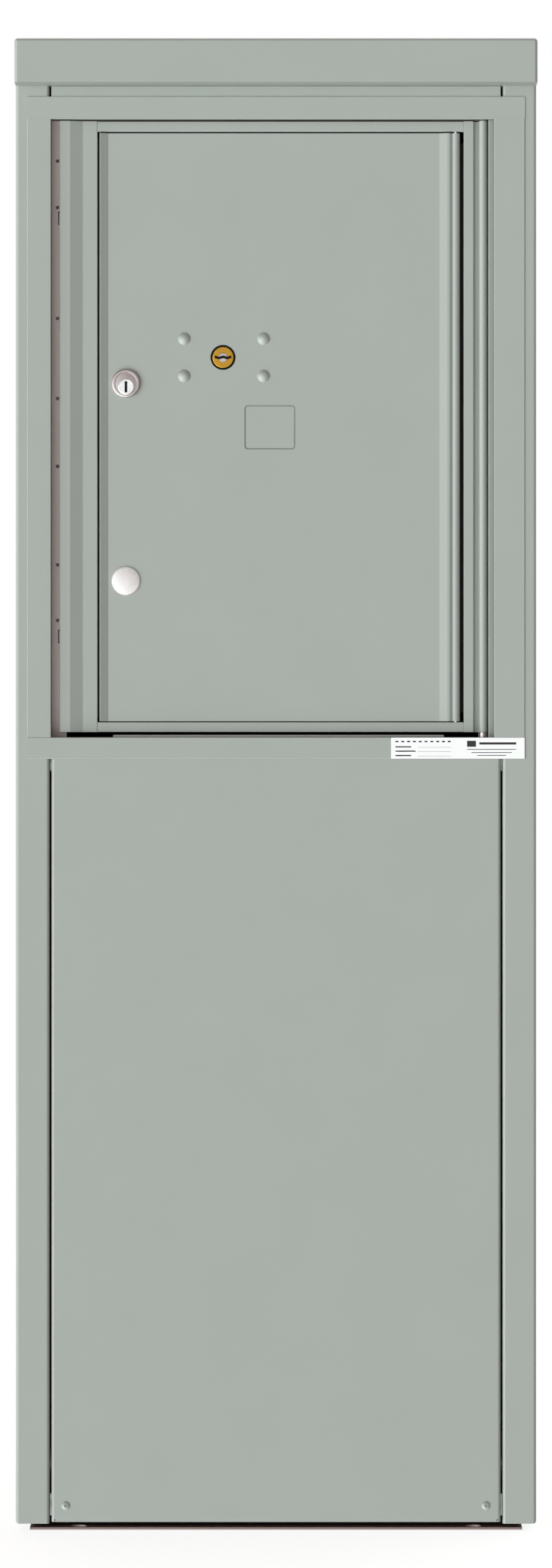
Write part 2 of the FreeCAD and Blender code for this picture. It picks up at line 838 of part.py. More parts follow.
def cam_screw():
    seat = cam_y + cam_thickness + plug_proud
    head = hexagon(lock_x, lock_z, 9, seat, seat + 2.4)
    shank = through(lock_x, lock_z, cam_thread, cam_y - 3.5, seat + 0.2)
    return join(head, shank)


def blank_plug():
    rim = door_y - blank_proud + blank_crown
    head = domed(lock_x, blank_z, lock_head, blank_crown, rim)
    side = through(lock_x, blank_z, lock_head, rim, door_y)
    shank = through(lock_x, blank_z, barrel_radius, door_y - 0.5, door_back + 5)
    hollow = through(lock_x, blank_z, barrel_radius - 2, door_y + 0.6, door_back + 6)
    return join(head, side, shank).cut(hollow)


def blank_plug_clip():
    ring = through(lock_x, blank_z, lock_head, door_back, door_back + 1)
    gap = block(lock_x - clip_gap, lock_x + clip_gap, door_back - 1, door_back + 2, blank_z - 15, blank_z)
    return ring.cut([through(lock_x, blank_z, barrel_radius, door_back - 1, door_back + 2), gap])


def arrow_lock_plate():
    x = arrow_x + bolt_offset
    back = door_back + arrow_plate
    plate = rounded_plate(x, arrow_z, bolt_spacing_x + 16, bolt_spacing_z + 14, arrow_plate_corner,
                          door_back, back)
    cuts = [through(px, pz, bolt_shank, door_back - 1, back + 1) for px, pz in bolt_places()]
    cuts.append(through(arrow_x, arrow_z, arrow_hole, door_back - 1, back + 1))
    return plate.cut(cuts)


def arrow_lock_case():
    front = door_back + arrow_plate
    back = front + arrow_case_depth
    left = arrow_x - arrow_case_width / 2
    case = rounded_plate(arrow_x, arrow_z, arrow_case_width, arrow_case_height, 3, front, back)
    bore = through(arrow_x, arrow_z, arrow_plug_radius + running_fit, front - 1, front + 5)
    room = block(left + 4, arrow_x + 17, front + 4.5, back - 2, arrow_z - 11, arrow_z + 11)
    side = block(left - 1, left + 5, front + 4.5, back - 2, arrow_z - bolt_bar_height / 2 - 0.3,
                 arrow_z + bolt_bar_height / 2 + 0.3)
    return case.cut([bore, room, side])


def arrow_crank_y():
    return door_back + arrow_plate + crank_set


def crank_reach():
    return crank_radius * math.sin(math.radians(45))


def arrow_slot():
    half = arrow_keyway / 2
    low = []
    high = []
    steps = 12
    for step in range(steps + 1):
        x = -half + 2 * half * step / steps
        z = arrow_keyway_wave * math.sin(math.pi * x / half)
        low.append(Vector(arrow_x + x, door_y - 1, arrow_z + z - arrow_keyway_width / 2))
        high.append(Vector(arrow_x + x, door_y - 1, arrow_z + z + arrow_keyway_width / 2))
    lower = Part.BSplineCurve()
    lower.interpolate(low)
    upper = Part.BSplineCurve()
    upper.interpolate(high)
    ends = [Part.makeLine(low[0], high[0]), Part.makeLine(low[-1], high[-1])]
    wire = Part.Wire(Part.__sortEdges__([lower.toShape(), upper.toShape()] + ends))
    return Part.Face(wire).extrude(Vector(0, arrow_keyway_depth, 0))


def arrow_lock_plug():
    front = door_y + arrow_plug_set
    plug = through(arrow_x, arrow_z, arrow_plug_radius, front, arrow_crank_y() - 0.3)
    rim = [edge for edge in plug.Edges if abs(edge.CenterOfMass.y - front) < 0.01]
    plug = plug.makeFillet(0.5, rim)
    bore = through(arrow_x, arrow_z, arrow_core_radius, front - 1, front + 5)
    pin = through(arrow_x + crank_reach(), arrow_z + crank_reach(), crank_pin,
                  arrow_crank_y() - 1, arrow_crank_y() + bolt_bar_thickness + 1)
    return join(plug.cut([bore, arrow_slot()]), pin)


def arrow_lock_core():
    front = door_y + arrow_core_set
    core = through(arrow_x, arrow_z, arrow_core_radius, front, door_y + 5.4)
    rim = [edge for edge in core.Edges if abs(edge.CenterOfMass.y - front) < 0.01]
    return core.makeFillet(0.4, rim).cut(arrow_slot())


def arrow_bolt_bar():
    low = arrow_crank_y() + 0.5
    high = low + bolt_bar_thickness - 0.5
    half = bolt_bar_height / 2
    left = stile_inner + stop_width + 1.6
    swing = crank_reach()
    head = block(arrow_x - 8, arrow_x + 12, low, high, arrow_z - half, arrow_z + 10)
    arm = block(left, arrow_x, low, high, arrow_z - half, arrow_z + half)
    nose = [(left, arrow_z - half), (left, arrow_z + half)]
    arm = rounded(arm, 1.5, on_lines(nose, 1))
    slot = block(arrow_x + swing - crank_pin - crank_slack, arrow_x + swing + crank_pin + crank_slack,
                 low - 1, high + 1, arrow_z + swing - crank_pin - 0.4,
                 arrow_z + crank_radius + crank_pin + 0.6)
    return join(head, arm).cut(slot)


def bolt_guide():
    low = door_back
    half = bolt_bar_height / 2 + 0.4
    x0 = stile_inner + stop_width + 4
    x1 = x0 + 9
    back = arrow_crank_y() + bolt_bar_thickness + 0.4
    legs = [block(x0, x1, low, back + 1.5, arrow_z - half - 2, arrow_z - half),
            block(x0, x1, low, back + 1.5, arrow_z + half, arrow_z + half + 2)]
    strap = block(x0, x1, back, back + 1.5, arrow_z - half - 2, arrow_z + half + 2)
    feet = [block(x0, x1, low, low + 1.5, arrow_z - half - 7, arrow_z - half),
            block(x0, x1, low, low + 1.5, arrow_z + half, arrow_z + half + 7)]
    return join(strap, *legs, *feet)


def carriage_bolts():
    bolts = []
    for x, z in bolt_places():
        head = domed(x, z, bolt_head_radius, bolt_head_height, door_y)
        bolts.append(join(head, through(x, z, bolt_shank, door_y - 0.3, door_back + bolt_end)))
    return bolts


def carriage_nuts():
    nuts = []
    seat = door_back + arrow_plate
    for x, z in bolt_places():
        nut = hexagon(x, z, nut_flats, seat, seat + nut_height)
        nuts.append(nut.cut(through(x, z, bolt_shank, seat - 1, seat + nut_height + 1)))
    return nuts


# ---- Write the pieces ----
os.makedirs("parts", exist_ok=True)

rear_set = rear_screws()
cap_set = cap_screws()
base_set = base_screws()
left_panel = side_panel()
right_panel = mirrored(left_panel)
save("left_side_panel", holes_for(left_panel, rear_set + cap_set + base_set))
save("right_side_panel", holes_for(right_panel, rear_set + cap_set + base_set))
save("rear_panel", holes_for(rear_panel(), rear_set))
save("top_cap", holes_for(top_cap(), cap_set))
save("header_panel", header_panel())
save("front_access_panel", front_access_panel())
save("base_tray", holes_for(base_tray(), base_set))
save("cross_rail", cross_rail())
save("left_support_rail", support_rail())
save("right_support_rail", mirrored(support_rail()))
save("panel_brackets", panel_bracket(), mirrored(panel_bracket()))
save("panel_screws", panel_screw(), mirrored(panel_screw()))
save("rear_screws", *rear_set)
save("cap_screws", *cap_set)
save("base_screws", *base_set)

save("trim_top", trim_rail(opening_top, trim_top_z, opening_top))
save("trim_bottom", trim_rail(trim_bottom_z, opening_bottom, opening_bottom - wall))
save("trim_left", trim_stile(-trim_half, opening_left, opening_left - wall))
save("trim_right", trim_stile(trim_half, opening_right, opening_right))
save("data_label", data_label())

housing_back = return_y + housing_depth
save("housing_left_wall", block(opening_left - wall, opening_left, return_y, housing_back,
                                opening_bottom, opening_top))
save("housing_right_wall", block(opening_right, opening_right + wall, return_y, housing_back,
                                 opening_bottom, opening_top))
save("housing_top", block(opening_left - wall, opening_right + wall, return_y, housing_back,
                          opening_top, opening_top + wall))
save("housing_floor", block(opening_left - wall, opening_right + wall, return_y, housing_back,
                            opening_bottom - wall, opening_bottom))
save("housing_back", block(opening_left - wall, opening_right + wall, housing_back,
                           housing_back + wall, opening_bottom - wall, opening_top + wall))
rivet_set = jamb_rivets()
save("left_jamb", left_jamb().cut(rivet_set))
save("right_jamb", right_jamb())
save("hinge_leaf", hinge_leaf())
save("jamb_rivets", *rivet_set)
save("sill_stop", sill_stop())
save("master_hinge_rod", master_hinge_rod())
save("hinge_bushings", *hinge_bushings())

screw_set = frame_screws()
left_stile = frame_left_stile().cut(screw_set)
save("frame_left_stile", left_stile)
save("frame_right_stile", frame_right_stile().cut(screw_set))
save("frame_top_rail", frame_rail(frame_top - top_rail_height, frame_top, door_top - stop_width,
                                  frame_top, frame_top - frame_wall).cut(screw_set))
save("frame_bottom_rail", frame_rail(frame_bottom, frame_bottom + bottom_rail_height, frame_bottom,
                                     door_bottom + stop_width, frame_bottom).cut(screw_set))
save("frame_screws", *screw_set)
save("parcel_hinge_rod", parcel_hinge_rod())
save("cam_strike", cam_strike())
save("latch_studs", *[stud.cut(left_stile) for stud in latch_studs()])
save("master_latch_bar", master_latch_bar())
save("latch_thumb_tab", latch_thumb_tab())

save("parcel_door_panel", parcel_door_panel())
save("customer_lock_body", customer_lock_body())
save("customer_lock_nut", customer_lock_nut())
save("customer_lock_plug", customer_lock_plug())
save("customer_cam", customer_cam())
save("cam_screw", cam_screw())
save("blank_plug", blank_plug())
save("blank_plug_clip", blank_plug_clip())
save("arrow_lock_plate", arrow_lock_plate())
save("arrow_lock_case", arrow_lock_case())
save("arrow_lock_plug", arrow_lock_plug())
save("arrow_lock_core", arrow_lock_core())
save("arrow_bolt_bar", arrow_bolt_bar())
save("bolt_guide", bolt_guide())
save("carriage_bolts", *carriage_bolts())
save("carriage_nuts", *carriage_nuts())
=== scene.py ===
# %% [markdown]
# # A parcel locker in a steel depot cabinet
# This lesson dresses a finished CAD model of a free-standing depot cabinet. The CAD frame says where
# every piece is and how the doors, locks and latch move. Blender adds rounded bends, turned lock parts,
# powder coat and metal, and never moves a CAD part.

# %% Load the frame
import json
import math

import bmesh
import bpy
from mathutils import Matrix, Vector


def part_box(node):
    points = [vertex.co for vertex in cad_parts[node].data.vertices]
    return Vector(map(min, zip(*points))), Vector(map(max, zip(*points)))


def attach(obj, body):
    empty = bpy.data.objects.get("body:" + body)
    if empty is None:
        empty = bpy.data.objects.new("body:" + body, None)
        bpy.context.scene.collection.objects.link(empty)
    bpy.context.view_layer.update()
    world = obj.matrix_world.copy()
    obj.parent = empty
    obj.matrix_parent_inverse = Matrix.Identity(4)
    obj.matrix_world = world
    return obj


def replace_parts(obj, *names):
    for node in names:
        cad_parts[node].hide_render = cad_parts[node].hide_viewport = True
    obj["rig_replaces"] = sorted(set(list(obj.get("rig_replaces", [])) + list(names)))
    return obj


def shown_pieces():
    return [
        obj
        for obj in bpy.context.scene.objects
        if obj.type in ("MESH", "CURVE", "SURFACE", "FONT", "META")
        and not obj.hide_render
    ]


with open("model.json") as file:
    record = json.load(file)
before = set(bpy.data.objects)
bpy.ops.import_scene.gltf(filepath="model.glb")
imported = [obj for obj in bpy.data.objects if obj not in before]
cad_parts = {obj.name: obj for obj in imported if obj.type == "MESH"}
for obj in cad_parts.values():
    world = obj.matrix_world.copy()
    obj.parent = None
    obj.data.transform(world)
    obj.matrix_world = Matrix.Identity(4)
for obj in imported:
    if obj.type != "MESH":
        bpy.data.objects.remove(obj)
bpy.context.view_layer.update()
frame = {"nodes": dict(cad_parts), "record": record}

MM = 0.001

# %% [markdown]
# ## Measures
# The shapes below are worked out from the boxes of the CAD nodes, so they land on the CAD parts without
# any fitting. Only small local sizes, such as a bend radius, are given as numbers, in millimetres.

# %% Read the planes that the pieces share
rail_low, rail_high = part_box("frame_top_rail")
stile_low, stile_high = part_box("frame_left_stile")
door_low, door_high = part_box("parcel_door_panel")
master_rod_low, master_rod_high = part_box("master_hinge_rod")
parcel_rod_low, parcel_rod_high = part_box("parcel_hinge_rod")

front_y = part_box("left_side_panel")[0].y
door_y = rail_low.y
frame_y = stile_low.y
stile_inner = rail_low.x
right_stile = rail_high.x
opening_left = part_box("left_jamb")[0].x
opening_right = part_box("right_jamb")[1].x

web_depth = 8 * MM
stop_back = rail_high.y - web_depth
stop_inset = 8 * MM
wall = 2.5 * MM
overlap = 0.5 * MM
door_gap = {"above": 1.5 * MM, "below": 0.8 * MM}
print("front", round(front_y, 4), "frame", round(frame_y, 4), "door", round(door_y, 4))

# %% [markdown]
# ## Paint and metal
# Nearly the whole cabinet is powder coated: a satin paint with a very fine orange peel, sprayed dry and
# melted on. It could be a plain grey, but then a close view shows nothing. Two noise patterns give the
# peel and a faint unevenness of tone, and a bump turns the first into relief.

# %% Helpers for building materials
def srgb(red, green, blue):
    parts = [value / 255 for value in (red, green, blue)]
    linear = [v / 12.92 if v <= 0.04045 else ((v + 0.055) / 1.055) ** 2.4 for v in parts]
    return (*linear, 1.0)


def start_material(name, colour, roughness, metallic):
    material = bpy.data.materials.new(name)
    material.use_nodes = True
    shader = material.node_tree.nodes["Principled BSDF"]
    shader.inputs["Base Color"].default_value = colour
    shader.inputs["Roughness"].default_value = roughness
    shader.inputs["Metallic"].default_value = metallic
    return material, material.node_tree, shader


def object_pattern(tree, kind, centre=(0, 0, 0), **settings):
    coordinates = tree.nodes.new("ShaderNodeTexCoord")
    mapping = tree.nodes.new("ShaderNodeMapping")
    mapping.inputs["Location"].default_value = [-value for value in centre]
    pattern = tree.nodes.new(kind)
    for name, value in settings.items():
        if name in pattern.inputs:
            pattern.inputs[name].default_value = value
        else:
            setattr(pattern, name, value)
    tree.links.new(coordinates.outputs["Object"], mapping.inputs["Vector"])
    tree.links.new(mapping.outputs["Vector"], pattern.inputs["Vector"])
    return pattern


def vary(tree, source, low, high, shader):
    spread = tree.nodes.new("ShaderNodeMapRange")
    spread.inputs["From Min"].default_value = 0.3
    spread.inputs["From Max"].default_value = 0.7
    spread.inputs["To Min"].default_value = low
    spread.inputs["To Max"].default_value = high
    tree.links.new(source, spread.inputs["Value"])
    tree.links.new(spread.outputs["Result"], shader.inputs["Roughness"])


def tint(tree, source, dark, light, shader):
    mix = tree.nodes.new("ShaderNodeMix")
    mix.data_type = "RGBA"
    mix.inputs["A"].default_value = dark
    mix.inputs["B"].default_value = light
    tree.links.new(source, mix.inputs["Factor"])
    tree.links.new(mix.outputs["Result"], shader.inputs["Base Color"])


def relief(tree, source, shader, strength, depth):
    bump = tree.nodes.new("ShaderNodeBump")
    bump.inputs["Strength"].default_value = strength
    bump.inputs["Distance"].default_value = depth
    tree.links.new(source, bump.inputs["Height"])
    tree.links.new(bump.outputs["Normal"], shader.inputs["Normal"])


def shade(colour, amount):
    return (*[value * amount for value in colour[:3]], 1.0)


# %% Powder coat
def powder_coat(name, colour, roughness=0.5):
    material, tree, shader = start_material(name, colour, roughness, 0.0)
    peel = object_pattern(tree, "ShaderNodeTexNoise", Scale=750.0, Detail=3.0, Roughness=0.6)
    cloud = object_pattern(tree, "ShaderNodeTexNoise", Scale=14.0, Detail=2.0, Roughness=0.5)
    blend = tree.nodes.new("ShaderNodeMath")
    blend.operation = "MULTIPLY_ADD"
    blend.inputs[1].default_value = 0.45
    tree.links.new(peel.outputs["Fac"], blend.inputs[0])
    half = tree.nodes.new("ShaderNodeMath")
    half.operation = "MULTIPLY"
    half.inputs[1].default_value = 0.55
    tree.links.new(cloud.outputs["Fac"], half.inputs[0])
    tree.links.new(half.outputs["Value"], blend.inputs[2])
    tint(tree, blend.outputs["Value"], shade(colour, 0.95), shade(colour, 1.05), shader)
    vary(tree, peel.outputs["Fac"], roughness - 0.05, roughness + 0.07, shader)
    relief(tree, peel.outputs["Fac"], shader, 0.22, 0.00012)
    return material


postal_grey = powder_coat("postal grey powder coat", srgb(166, 171, 165))
# The housing coat is painted shade: its grey is darkened so the gaps into the housing read dark.
housing_painted_shade_grey = powder_coat("housing coat darkened as painted shade", srgb(104, 100, 96), 0.6)
# The left jamb's coat is painted light and shade: lighter and warmer than the grey coat, so the shaded
# recess shows a warm tone.
jamb_painted_shade_coat = powder_coat("jamb coat with painted warm shade", srgb(222, 208, 202), 0.55)
rivet_coat = powder_coat("rivet dark coat", srgb(104, 94, 90), 0.5)
# The base plate's coat is painted shade: darker and warmer than the grey coat, as the plate looks in the
# shade under the cabinet.
base_painted_shade_grey = powder_coat("base plate coat darkened and warmed as painted shade", srgb(137, 116, 112), 0.55)
print("powder coats:", postal_grey.name, housing_painted_shade_grey.name, base_painted_shade_grey.name)

# %% [markdown]
# The metal parts are small but catch the eye. Turned faces carry fine rings round their axis, which a
# wave texture centred on the part gives, and plated sheet steel has the cloudy look of zinc crystals.

# %% Turned metal, plated sheet and ground rod
def turned_metal(name, colour, roughness, centre, rings=900.0, depth=0.00002):
    material, tree, shader = start_material(name, colour, roughness, 1.0)
    wave = object_pattern(tree, "ShaderNodeTexWave", centre, wave_type="RINGS",
                          rings_direction="Y", Scale=rings, Distortion=0.6, Detail=2.0)
    stain = object_pattern(tree, "ShaderNodeTexNoise", Scale=220.0, Detail=3.0)
    tint(tree, stain.outputs["Fac"], shade(colour, 0.86), shade(colour, 1.06), shader)
    vary(tree, wave.outputs["Fac"], roughness - 0.05, roughness + 0.08, shader)
    relief(tree, wave.outputs["Fac"], shader, 0.25, depth)
    return material


def plated_sheet(name, colour):
    material, tree, shader = start_material(name, colour, 0.36, 1.0)
    crystal = object_pattern(tree, "ShaderNodeTexVoronoi", Scale=170.0, Randomness=1.0)
    stain = object_pattern(tree, "ShaderNodeTexNoise", Scale=60.0, Detail=4.0)
    tint(tree, stain.outputs["Fac"], shade(colour, 0.82), shade(colour, 1.08), shader)
    vary(tree, crystal.outputs["Distance"], 0.3, 0.46, shader)
    relief(tree, stain.outputs["Fac"], shader, 0.1, 0.00008)
    return material


def ground_rod(name, colour, roughness):
    material, tree, shader = start_material(name, colour, roughness, 1.0)
    scratch = object_pattern(tree, "ShaderNodeTexNoise", Scale=1400.0, Detail=2.0)
    vary(tree, scratch.outputs["Fac"], roughness - 0.08, roughness + 0.1, shader)
    relief(tree, scratch.outputs["Fac"], shader, 0.15, 0.00002)
    return material


zinc_sheet = plated_sheet("zinc plated sheet steel", srgb(176, 178, 178))
stainless_rod = ground_rod("ground stainless rod", srgb(188, 189, 190), 0.28)
bushing_metal = ground_rod("sintered bushing metal", srgb(196, 184, 180), 0.38)
black_case = powder_coat("black lock case", srgb(14, 14, 14), 0.6)
print("metals:", zinc_sheet.name, stainless_rod.name, bushing_metal.name)

# %% [markdown]
# ## Smooth shading for folded and turned parts
# A part made of flat faces and small bends looks right when the bends are smooth and the big flat faces
# stay flat. Weighted normals do that: a large face decides the normal at its edges.

# %% Helpers that finish a piece
def volume(mesh):
    """The volume in cm3, which is negative if the faces point inwards."""
    shape = bmesh.new()
    shape.from_mesh(mesh)
    cubic_metres = shape.calc_volume(signed=True)
    shape.free()
    return round(cubic_metres * 1e6, 3)


def place(name, mesh, body, material, node=None, sharp=40):
    mesh.materials.clear()
    mesh.materials.append(material)
    mesh.shade_smooth()
    mesh.set_sharp_from_angle(angle=math.radians(sharp))
    print(name, "cm3:", volume(mesh))
    piece = bpy.data.objects.new(name, mesh)
    bpy.context.collection.objects.link(piece)
    weighted = piece.modifiers.new("flat faces stay flat", "WEIGHTED_NORMAL")
    weighted.keep_sharp = True
    if node:
        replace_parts(piece, node)
    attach(piece, body)
    return piece


def evaluated(piece):
    bpy.context.view_layer.update()
    seen = piece.evaluated_get(bpy.context.evaluated_depsgraph_get())
    return bpy.data.meshes.new_from_object(seen)


def to_mesh(shape):
    mesh = bpy.data.meshes.new("shape")
    shape.to_mesh(mesh)
    shape.free()
    return mesh


def body_of(node):
    return next(body for body, nodes in frame["record"]["behaviour"]["bodies"].items()
                if node in nodes)


def slot_of(node):
    return next(part["material_slot"] for part in frame["record"]["subparts"]
                if part["node"] == node)


# %% [markdown]
# ## Extrusions as a rule
# The trim, the door frame and the locker door are all one outline pushed through a die. Each could be
# modelled by hand, but a rule is shorter and exact: a Geometry Nodes tree rounds the outline's corners,
# fills it, and pushes it to its length. The radius of each corner is stored on its point.

# %% Build the extrusion tree
def add_input(tree, name, kind, default=None):
    item = tree.interface.new_socket(name=name, in_out="INPUT", socket_type=kind)
    if default is not None:
        item.default_value = default


def extrusion_tree():
    tree = bpy.data.node_groups.new("extrusion", "GeometryNodeTree")
    add_input(tree, "Outline", "NodeSocketGeometry")
    add_input(tree, "Bend steps", "NodeSocketInt", 6)
    add_input(tree, "Length", "NodeSocketFloat", 0.1)
    add_input(tree, "Finish", "NodeSocketMaterial")
    tree.interface.new_socket(name="Extrusion", in_out="OUTPUT", socket_type="NodeSocketGeometry")
    add = tree.nodes.new
    link = tree.links.new
    given = add("NodeGroupInput")
    loop = add("GeometryNodeMeshToCurve")
    bends = add("GeometryNodeInputNamedAttribute")
    bends.data_type = "FLOAT"
    bends.inputs["Name"].default_value = "bend"
    fillet = add("GeometryNodeFilletCurve")
    fillet.mode = "POLY"
    fillet.inputs["Limit Radius"].default_value = True
    fill = add("GeometryNodeFillCurve")
    fill.mode = "NGONS"
    push = add("GeometryNodeExtrudeMesh")
    push.mode = "FACES"
    push.inputs["Individual"].default_value = False
    direction = add("ShaderNodeCombineXYZ")
    flip = add("GeometryNodeFlipFaces")
    both = add("GeometryNodeJoinGeometry")
    weld = add("GeometryNodeMergeByDistance")
    weld.inputs["Distance"].default_value = 1e-6
    real = add("GeometryNodeRealizeInstances")
    paint = add("GeometryNodeSetMaterial")
    result = add("NodeGroupOutput")
    link(given.outputs["Outline"], loop.inputs["Mesh"])
    link(loop.outputs["Curve"], fillet.inputs["Curve"])
    link(bends.outputs["Attribute"], fillet.inputs["Radius"])
    link(given.outputs["Bend steps"], fillet.inputs["Count"])
    link(fillet.outputs["Curve"], fill.inputs["Curve"])
    link(fill.outputs["Mesh"], push.inputs["Mesh"])
    link(given.outputs["Length"], direction.inputs["Z"])
    link(direction.outputs["Vector"], push.inputs["Offset"])
    link(fill.outputs["Mesh"], flip.inputs["Mesh"])
    link(flip.outputs["Mesh"], both.inputs["Geometry"])
    link(push.outputs["Mesh"], both.inputs["Geometry"])
    link(both.outputs["Geometry"], weld.inputs["Geometry"])
    link(weld.outputs["Geometry"], real.inputs["Geometry"])
    link(real.outputs["Geometry"], paint.inputs["Geometry"])
    link(given.outputs["Finish"], paint.inputs["Material"])
    link(paint.outputs["Geometry"], result.inputs["Extrusion"])
    return tree


def run_tree(tree, mesh, **values):
    carrier = bpy.data.objects.new("carrier", mesh)
    bpy.context.collection.objects.link(carrier)
    modifier = carrier.modifiers.new("rule", "NODES")
    modifier.node_group = tree
    named = {item.name: item.identifier for item in tree.interface.items_tree
             if item.in_out == "INPUT"}
    for name, value in values.items():
        modifier[named[name.replace("_", " ")]] = value
    shape = evaluated(carrier)
    bpy.data.objects.remove(carrier)
    return shape


extrusion = extrusion_tree()
ALONG = {"X": Matrix(((0, 0, 1), (1, 0, 0), (0, 1, 0))),
         "Y": Matrix(((0, 1, 0), (0, 0, 1), (1, 0, 0))),
         "Z": Matrix.Identity(3)}


def extrude(outline, start, end, along="Z", steps=6):
    """An outline pushed along an axis: its points are (y, z), (z, x) or (x, y), and a bend in mm."""
    mesh = bpy.data.meshes.new("outline")
    count = len(outline)
    mesh.from_pydata([(u, v, 0) for u, v, _ in outline],
                     [(i, (i + 1) % count) for i in range(count)], [])
    bend = mesh.attributes.new("bend", "FLOAT", "POINT")
    for point, (_, _, radius) in zip(bend.data, outline):
        point.value = radius * MM
    shape = run_tree(extrusion, mesh, Bend_steps=steps, Length=end - start, Finish=postal_grey)
    shape.transform(Matrix.Translation((0, 0, start)))
    shape.transform(ALONG[along].to_4x4())
    return shape


def joined(*meshes):
    shape = bmesh.new()
    for mesh in meshes:
        shape.from_mesh(mesh)
    return to_mesh(shape)


def rectangle(u0, u1, v0, v1, bend=0.3):
    return [(u0, v0, bend), (u1, v0, bend), (u1, v1, bend), (u0, v1, bend)]


print("extrusion inputs:", [item.name for item in extrusion.interface.items_tree])

# %% [markdown]
# ## Trim frame
# Four strips cover the gap between the module and the cabinet. Each is a flat face with one edge folded
# back into the opening, and they meet at butt joints, so each strip is its own extrusion with lightly
# rounded edges that leave a hairline at the joint.

# %% Extrude the four trim strips
def trim_strip(name, face, lip, start, end, along):
    mesh = joined(extrude(face, start, end, along), extrude(lip, start, end, along))
    return place(name, mesh, "cabinet", postal_grey, name)


lip_sheet = 1.2 * MM
lip_front = front_y - 0.3 * MM
for name, edge, outward in (("trim_left", opening_left, -1), ("trim_right", opening_right, 1)):
    low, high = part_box(name)
    outer = low.x if outward < 0 else high.x
    face = rectangle(*sorted((outer, edge)), low.y, front_y, 0.6)
    lip = rectangle(*sorted((edge, edge + outward * lip_sheet)), lip_front, high.y)
    trim_strip(name, face, lip, low.z, high.z, "Z")

for name in ("trim_top", "trim_bottom"):
    low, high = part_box(name)
    lip_z = low.z if name == "trim_top" else high.z - lip_sheet
    face = rectangle(low.y, front_y, low.z, high.z, 0.6)
    lip = rectangle(lip_front, high.y, lip_z, lip_z + lip_sheet)
    trim_strip(name, face, lip, low.x, high.x, "X")
print("trim strips: 4")

# %% [markdown]
# ## Master door frame
# The frame round the locker door is made of aluminium extrusions. The left stile has a raised outer band
# that slopes down to the level of the door, and the right stile ends in the round bead that the hinge rod
# runs through.

# %% Extrude the left stile
def left_stile_outline():
    left = stile_low.x
    band_width = 9.3 * MM
    slope_width = 11.3 * MM
    back_shift = 0.4 * MM
    slope_start = left + band_width
    slope_end = slope_start + slope_width
    return [(left, frame_y, 1.0), (slope_start, frame_y, 1.2), (slope_end, door_y, 1.2),
            (stile_inner, door_y, 0.8), (stile_inner, stop_back, 0.4),
            (stile_inner - wall, stop_back, 0.4), (stile_inner - wall, door_y + wall, 0.6),
            (slope_end - back_shift, door_y + wall, 2.0),
            (slope_start - back_shift, frame_y + wall, 2.0),
            (left + wall, frame_y + wall, 0.6), (left + wall, stop_back, 0.4),
            (left, stop_back, 0.4)]


stop = rectangle(stile_inner - overlap, stile_high.x, stop_back - wall, stop_back, 0.5)
left_stile = joined(extrude(left_stile_outline(), stile_low.z, stile_high.z),
                    extrude(stop, door_low.z + stop_inset, door_high.z - stop_inset))
place("frame_left_stile_extrusion", left_stile, "master_door", postal_grey,
      "frame_left_stile")
print("left stile faces:", len(left_stile.polygons))

# %% Extrude the right stile with its hinge bead
def bead_arc(centre, radius, first, last, steps=36):
    turns = [math.radians(first + (last - first) * k / steps) for k in range(steps + 1)]
    return [(centre[0] + radius * math.cos(a), centre[1] + radius * math.sin(a), 0) for a in turns]


def middle(low, high):
    return ((low.x + high.x) / 2, (low.y + high.y) / 2)


master_axis = middle(master_rod_low, master_rod_high)
master_radius = master_axis[1] - frame_y


def right_stile_outline():
    face_width = 8.8 * MM
    groove_depth = 4.6 * MM
    back_x = master_axis[0] + 1.6 * MM
    groove_x = right_stile + face_width
    groove_y = door_y + groove_depth
    return [(right_stile, door_y, 0.8), (groove_x, door_y, 0.5), (groove_x, groove_y, 0.3),
            (master_axis[0] - master_radius / 2, groove_y, 0.3),
            *bead_arc(master_axis, master_radius, 120, 420),
            (back_x, stop_back, 0.4), (right_stile, stop_back, 0.4)]


right_low, right_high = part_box("frame_right_stile")
baffle_sheet = 2 * MM
baffle_x = right_stile + baffle_sheet
baffle_y = right_high.y - baffle_sheet
baffle = [(right_stile, stop_back - overlap, 0), (baffle_x, stop_back - overlap, 0),
          (baffle_x, right_high.y, 0.8), (right_low.x, right_high.y, 0.4),
          (right_low.x, baffle_y, 0.4), (right_stile, baffle_y, 0.8)]
right_stile_mesh = joined(extrude(right_stile_outline(), right_low.z, right_high.z),
                          extrude(baffle, door_low.z + stop_inset, door_high.z - stop_inset))
place("frame_right_stile_extrusion", right_stile_mesh, "master_door", postal_grey,
      "frame_right_stile")
print("bead radius mm:", round(master_radius / MM, 2))

# %% Extrude the two rails between the stiles
hinge_room = 4.7 * MM
web_end_gap = 0.2 * MM


def rail_mesh(node, bar_low, bar_high):
    low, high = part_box(node)
    web_z = bar_high - wall if node == "frame_top_rail" else bar_low
    bar = rectangle(door_y, stop_back, bar_low, bar_high, 0.8)
    web = rectangle(stop_back - overlap, high.y, web_z, web_z + wall, 0.4)
    stop_strip = rectangle(stop_back - wall, stop_back, low.z, high.z, 0.4)
    return joined(extrude(bar, low.x, high.x, "X"), extrude(web, low.x, high.x - web_end_gap, "X"),
                  extrude(stop_strip, low.x, parcel_rod_low.x - hinge_room, "X"))


bottom_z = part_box("frame_bottom_rail")[0].z
for node, bar_low, bar_high in (
        ("frame_top_rail", door_high.z + door_gap["above"], rail_high.z),
        ("frame_bottom_rail", bottom_z, door_low.z - door_gap["below"])):
    place(node + "_extrusion", rail_mesh(node, bar_low, bar_high), "master_door",
          postal_grey, node)
print("rails: 2")

